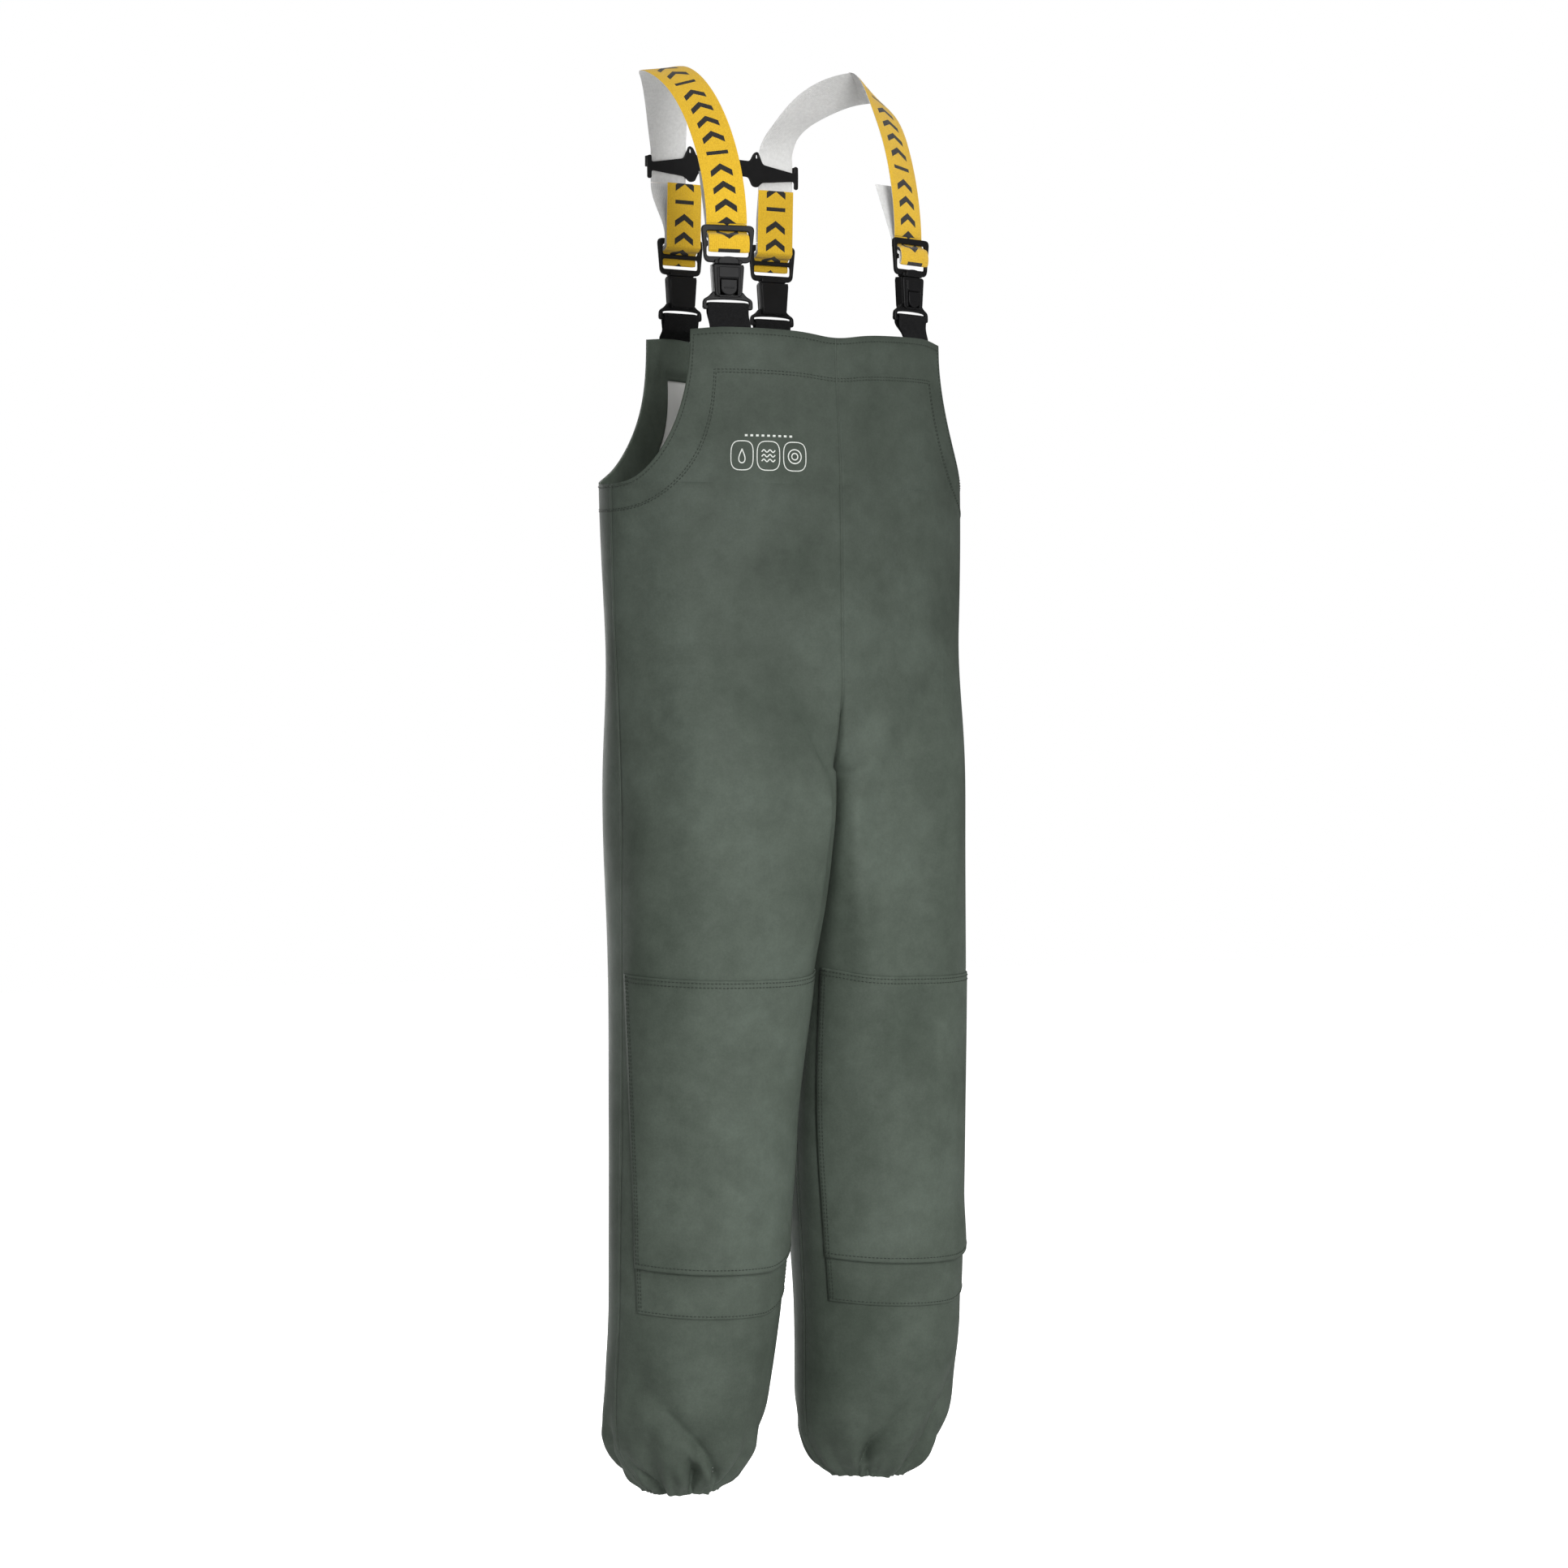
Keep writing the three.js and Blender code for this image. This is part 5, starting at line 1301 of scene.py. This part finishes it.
def moulding(outlines, inner, outer, bevel):
    """A plate between two depths with rounded edges: its first outline is the rim, the rest are holes."""
    curve = bpy.data.curves.new("moulding", "CURVE")
    curve.dimensions = "2D"
    curve.fill_mode = "BOTH"
    curve.extrude = (outer - inner) / 2 - bevel
    curve.bevel_depth = bevel
    curve.bevel_resolution = 2
    curve.offset = -bevel
    for i, outline in enumerate(outlines):
        wanted = 1 if i == 0 else -1
        outline = outline if area_of(outline) * wanted > 0 else outline[::-1]
        line = curve.splines.new("POLY")
        line.points.add(len(outline) - 1)
        flat = np.column_stack([outline, np.zeros(len(outline)), np.ones(len(outline))])
        line.points.foreach_set("co", flat.ravel())
        line.use_cyclic_u = True
    carrier = bpy.data.objects.new("moulding", curve)
    mesh = bpy.data.meshes.new_from_object(carrier)
    points = np.zeros(len(mesh.vertices) * 3)
    mesh.vertices.foreach_get("co", points)
    points = points.reshape(-1, 3)
    faces = [tuple(polygon.vertices) for polygon in mesh.polygons]
    bpy.data.objects.remove(carrier)
    bpy.data.meshes.remove(mesh)
    bpy.data.curves.remove(curve)
    local = np.stack([points[:, 0], (inner + outer) / 2 - points[:, 2], points[:, 1]], -1)
    return local, faces


def add_moulded(name, place, plates, body, node):
    """Joins plates into one moulded piece, placed by place(points), that stands for a CAD node."""
    vertices, faces, start = [], [], 0
    for outlines, inner, outer, bevel in plates:
        points, made = moulding(outlines, inner, outer, bevel)
        vertices.append(points)
        faces += [tuple(start + k for k in face) for face in made]
        start += len(points)
    mesh = bpy.data.meshes.new(name)
    mesh.from_pydata(place(np.concatenate(vertices)).tolist(), [], faces)
    mesh.materials.append(PLASTIC_MATERIAL)
    mesh.polygons.foreach_set("use_smooth", np.ones(len(mesh.polygons), bool))
    mesh.set_sharp_from_angle(angle=math.radians(40))
    piece = bpy.data.objects.new(name, mesh)
    bpy.context.collection.objects.link(piece)
    belong(piece, body, "clip_plastic", node)


def both_sides(right):
    """A closed outline from the points of its right side, going up, and their mirror images."""
    return [(-right[0][0], right[0][1]), *right, *((-x, z) for x, z in right[:0:-1])]


def rectangle(half, bottom, top):
    """A rectangle centred across."""
    return both_sides([(half, bottom), (half, top)])


TONGUE_END = HOUSING_TOP - 0.021
FORK_TOP = TONGUE_END + 0.013
TAB_TOP = TONGUE_END + 0.005
TAB_BOTTOM = HOUSING_BOTTOM + 0.0014
TAB_HALF = 0.009
WELL_HALF = TAB_HALF + FIT
HOUSING_HALF = 0.0175
HOUSING_WAIST = 0.0150
WALL_INSIDE = 0.0118
LOOP_HALF = 0.028
PRONG_OUTSIDE = 0.011
PRONG_INSIDE = 0.0044


def add_adjuster(clip):
    """The ladder frame with its collar and forked tongue."""
    half = FRAME_WIDTH / 2
    bottom = -FRAME_TOP
    rim = rounded(both_sides([(half - 0.004, bottom), (half, FRAME_TOP)]), 0.007, 8)
    windows = [
        rounded(rectangle(SLOT_HALF, MIDDLE_BAR / 2, FRAME_TOP - RAIL), 0.003),
        rounded(rectangle(SLOT_HALF, bottom + RAIL, -MIDDLE_BAR / 2), 0.003),
    ]
    fork = [
        (-PRONG_OUTSIDE, bottom + 0.003), (-PRONG_OUTSIDE, TONGUE_END), (-PRONG_INSIDE, TONGUE_END),
        (-PRONG_INSIDE, FORK_TOP), (PRONG_INSIDE, FORK_TOP), (PRONG_INSIDE, TONGUE_END),
        (PRONG_OUTSIDE, TONGUE_END), (PRONG_OUTSIDE, bottom + 0.003)]
    collar = rounded(rectangle(0.0155, HOUSING_TOP + FIT, bottom + 0.003), 0.0015)
    lip = rounded([
        (-0.013, HOUSING_TOP + FIT), (0.013, HOUSING_TOP + FIT), (0.0105, bottom + 0.0055),
        (0.0, bottom + 0.0068), (-0.0105, bottom + 0.0055)], 0.004)
    plates = [
        ([rim, *windows], -HALF_FRAME, HALF_FRAME, 0.0011),
        ([rounded(fork, 0.001)], -0.0013, 0.0013, 0.0004),
        ([collar], -0.005, 0.0040, 0.0010),
        ([lip], 0.0, 0.0052, 0.0012),
    ]
    add_moulded(f"ladder_{clip.key}", clip.place, plates, f"clip_{clip.key}", f"adjuster_{clip.key}")


def add_housing(clip):
    """The lower half: a waisted body with a raised panel, an open mouth and a slotted loop."""
    half, waist = HOUSING_HALF, HOUSING_WAIST
    body = rounded(both_sides([
        (waist, HOUSING_BOTTOM), (half - 0.0015, HOUSING_BOTTOM + 0.014), (half, HOUSING_TOP)]), 0.004, 6)
    well = rounded(rectangle(WELL_HALF, TAB_BOTTOM - FIT, TAB_TOP + FIT), 0.0008)
    shoulder = HOUSING_BOTTOM + 0.0055
    loop = both_sides([
        (LOOP_HALF, BAR_BOTTOM), (LOOP_HALF - 0.0005, SLOT_TOP + 0.0012), (0.0205, HOUSING_BOTTOM + 0.0005),
        (0.0165, shoulder), (0.0112, shoulder), (0.0100, HOUSING_BOTTOM + 0.0009)])
    arch = np.linspace(0, np.pi, 17)
    slot = np.concatenate([
        [(-SLOT_HALF, BAR_TOP), (SLOT_HALF, BAR_TOP)],
        np.stack([SLOT_HALF * np.cos(arch), SLOT_TOP - 0.0008 + 0.0022 * np.sin(arch)], -1)])
    panel = rounded(rectangle(0.0115, TAB_TOP + 0.0018, HOUSING_TOP - 0.0025), 0.002)
    side_panels = [
        rounded([(sign * 0.0095, TAB_BOTTOM), (sign * 0.0122, TAB_BOTTOM + 0.001),
                 (sign * 0.0132, HOUSING_TOP - 0.003), (sign * 0.0110, HOUSING_TOP - 0.003)], 0.0008)
        for sign in (-1, 1)]
    walls = [
        rounded([(sign * half, HOUSING_TOP), (sign * WALL_INSIDE, HOUSING_TOP),
                 (sign * WALL_INSIDE, HOUSING_BOTTOM), (sign * waist, HOUSING_BOTTOM)], 0.001)
        for sign in (-1, 1)]
    sill = rounded(rectangle(waist, HOUSING_BOTTOM - 0.0005, TAB_BOTTOM - FIT), 0.0004)
    plates = [
        ([body, well], 0.0018, 0.0050, 0.0012),
        ([body], -0.0078, -0.0062, 0.0007),
        ([walls[0]], -0.0070, 0.0022, 0.0006),
        ([walls[1]], -0.0070, 0.0022, 0.0006),
        ([sill], -0.0070, 0.0030, 0.0003),
        ([rounded(loop, 0.0035, 6), slot], -0.0022, 0.0022, 0.0012),
        ([panel], 0.0040, 0.0064, 0.0009),
        ([side_panels[0]], 0.0040, 0.0058, 0.0006),
        ([side_panels[1]], 0.0040, 0.0058, 0.0006),
    ]
    add_moulded(f"housing_{clip.key}", clip.place, plates, "garment", f"clip_housing_{clip.key}")


def add_tab(clip):
    """The half-round release tab, its web and the catch behind the tongue."""
    half = TAB_HALF
    turn = np.linspace(np.pi, 2 * np.pi, 19)
    middle = TAB_BOTTOM + half * 0.85
    arc = np.stack([half * np.cos(turn), middle + half * 0.85 * np.sin(turn)], -1)
    face = np.concatenate([[(half, TAB_TOP), (-half, TAB_TOP)], arc])
    ridge = rounded(rectangle(0.0055, middle - 0.0005, middle + 0.0007), 0.0005)
    web = rectangle(half - 0.001, TONGUE_END - 0.005, TONGUE_END - 0.002)
    heel = rectangle(half - 0.001, TONGUE_END - 0.005, FORK_TOP)
    catch = rectangle(0.0040, TONGUE_END + 0.007, FORK_TOP - 0.001)
    plates = [
        ([face], 0.0033, 0.0063, 0.0009),
        ([ridge], 0.0058, 0.0069, 0.0004),
        ([rounded(web, 0.0005)], -0.0042, 0.0037, 0.0003),
        ([rounded(heel, 0.0008)], -0.0042, -0.0030, 0.0003),
        ([rounded(catch, 0.0006)], -0.0034, 0.0, 0.0003),
    ]
    add_moulded(f"tab_{clip.key}", clip.place, plates, f"tab_{clip.key}", f"release_tab_{clip.key}")


def add_yoke():
    """The bow-tie plate behind the shoulders with hooked ends over the strap edges."""
    edge = WEBBING_WIDTH / 2 + 0.0008
    inside, outside = YOKE_STRAP_OFFSET - edge, YOKE_STRAP_OFFSET + edge
    post, tall = 0.005, 0.020
    neck, end = inside - post, outside + post
    half = [
        (0, 0.0100), (neck - 0.007, 0.009), (neck - 0.002, tall - 0.002), (neck + 0.002, tall),
        (inside - 0.001, tall - 0.001), (inside + 0.005, 0.006), (outside, -0.001), (outside, 0.007),
        (end, 0.0065), (end + 0.0002, -0.006), (end, -0.019), (outside, -0.019),
        (outside, -0.010), (inside + 0.004, -0.014), (inside - 0.002, -tall), (neck - 0.004, -tall + 0.001),
        (neck - 0.009, -0.009), (0, -0.008)]
    outline = np.array(half + [(-x, z) for x, z in half[-2:0:-1]])
    face = -WEBBING / 2 - FIT
    lip = WEBBING / 2 + FIT
    holes = [
        rounded([(sign * (inside - 0.0045), tall - 0.0075), (sign * (inside - 0.0020), tall - 0.0075),
                 (sign * (inside - 0.0022), tall - 0.0035), (sign * (inside - 0.0042), tall - 0.0035)], 0.001)
        for sign in (-1, 1)]
    plates = [([rounded(outline, 0.003), *holes], face - 0.003, face, 0.0010)]
    for sign in (-1, 1):
        for centre in (inside - post / 2, outside + post / 2):
            post_outline = [(sign * centre + x, z) for x, z in rectangle(post / 2, -0.006, 0.006)]
            plates.append(([rounded(post_outline, 0.001)], face - 0.001, lip + 0.002, 0.0006))
        for centre in (inside, outside):
            lip_outline = [(sign * centre + x, z) for x, z in rectangle(post, -0.006, 0.006)]
            plates.append(([rounded(lip_outline, 0.0015)], lip, lip + 0.002, 0.0007))
    base = np.array([0.0, high("yoke")[1] - (lip + 0.002), YOKE_CENTRE[2]])
    add_moulded("back_yoke", lambda points: base + points, plates, "harness", "yoke")


for clip in clips.values():
    add_adjuster(clip)
    add_housing(clip)
    add_tab(clip)
add_yoke()
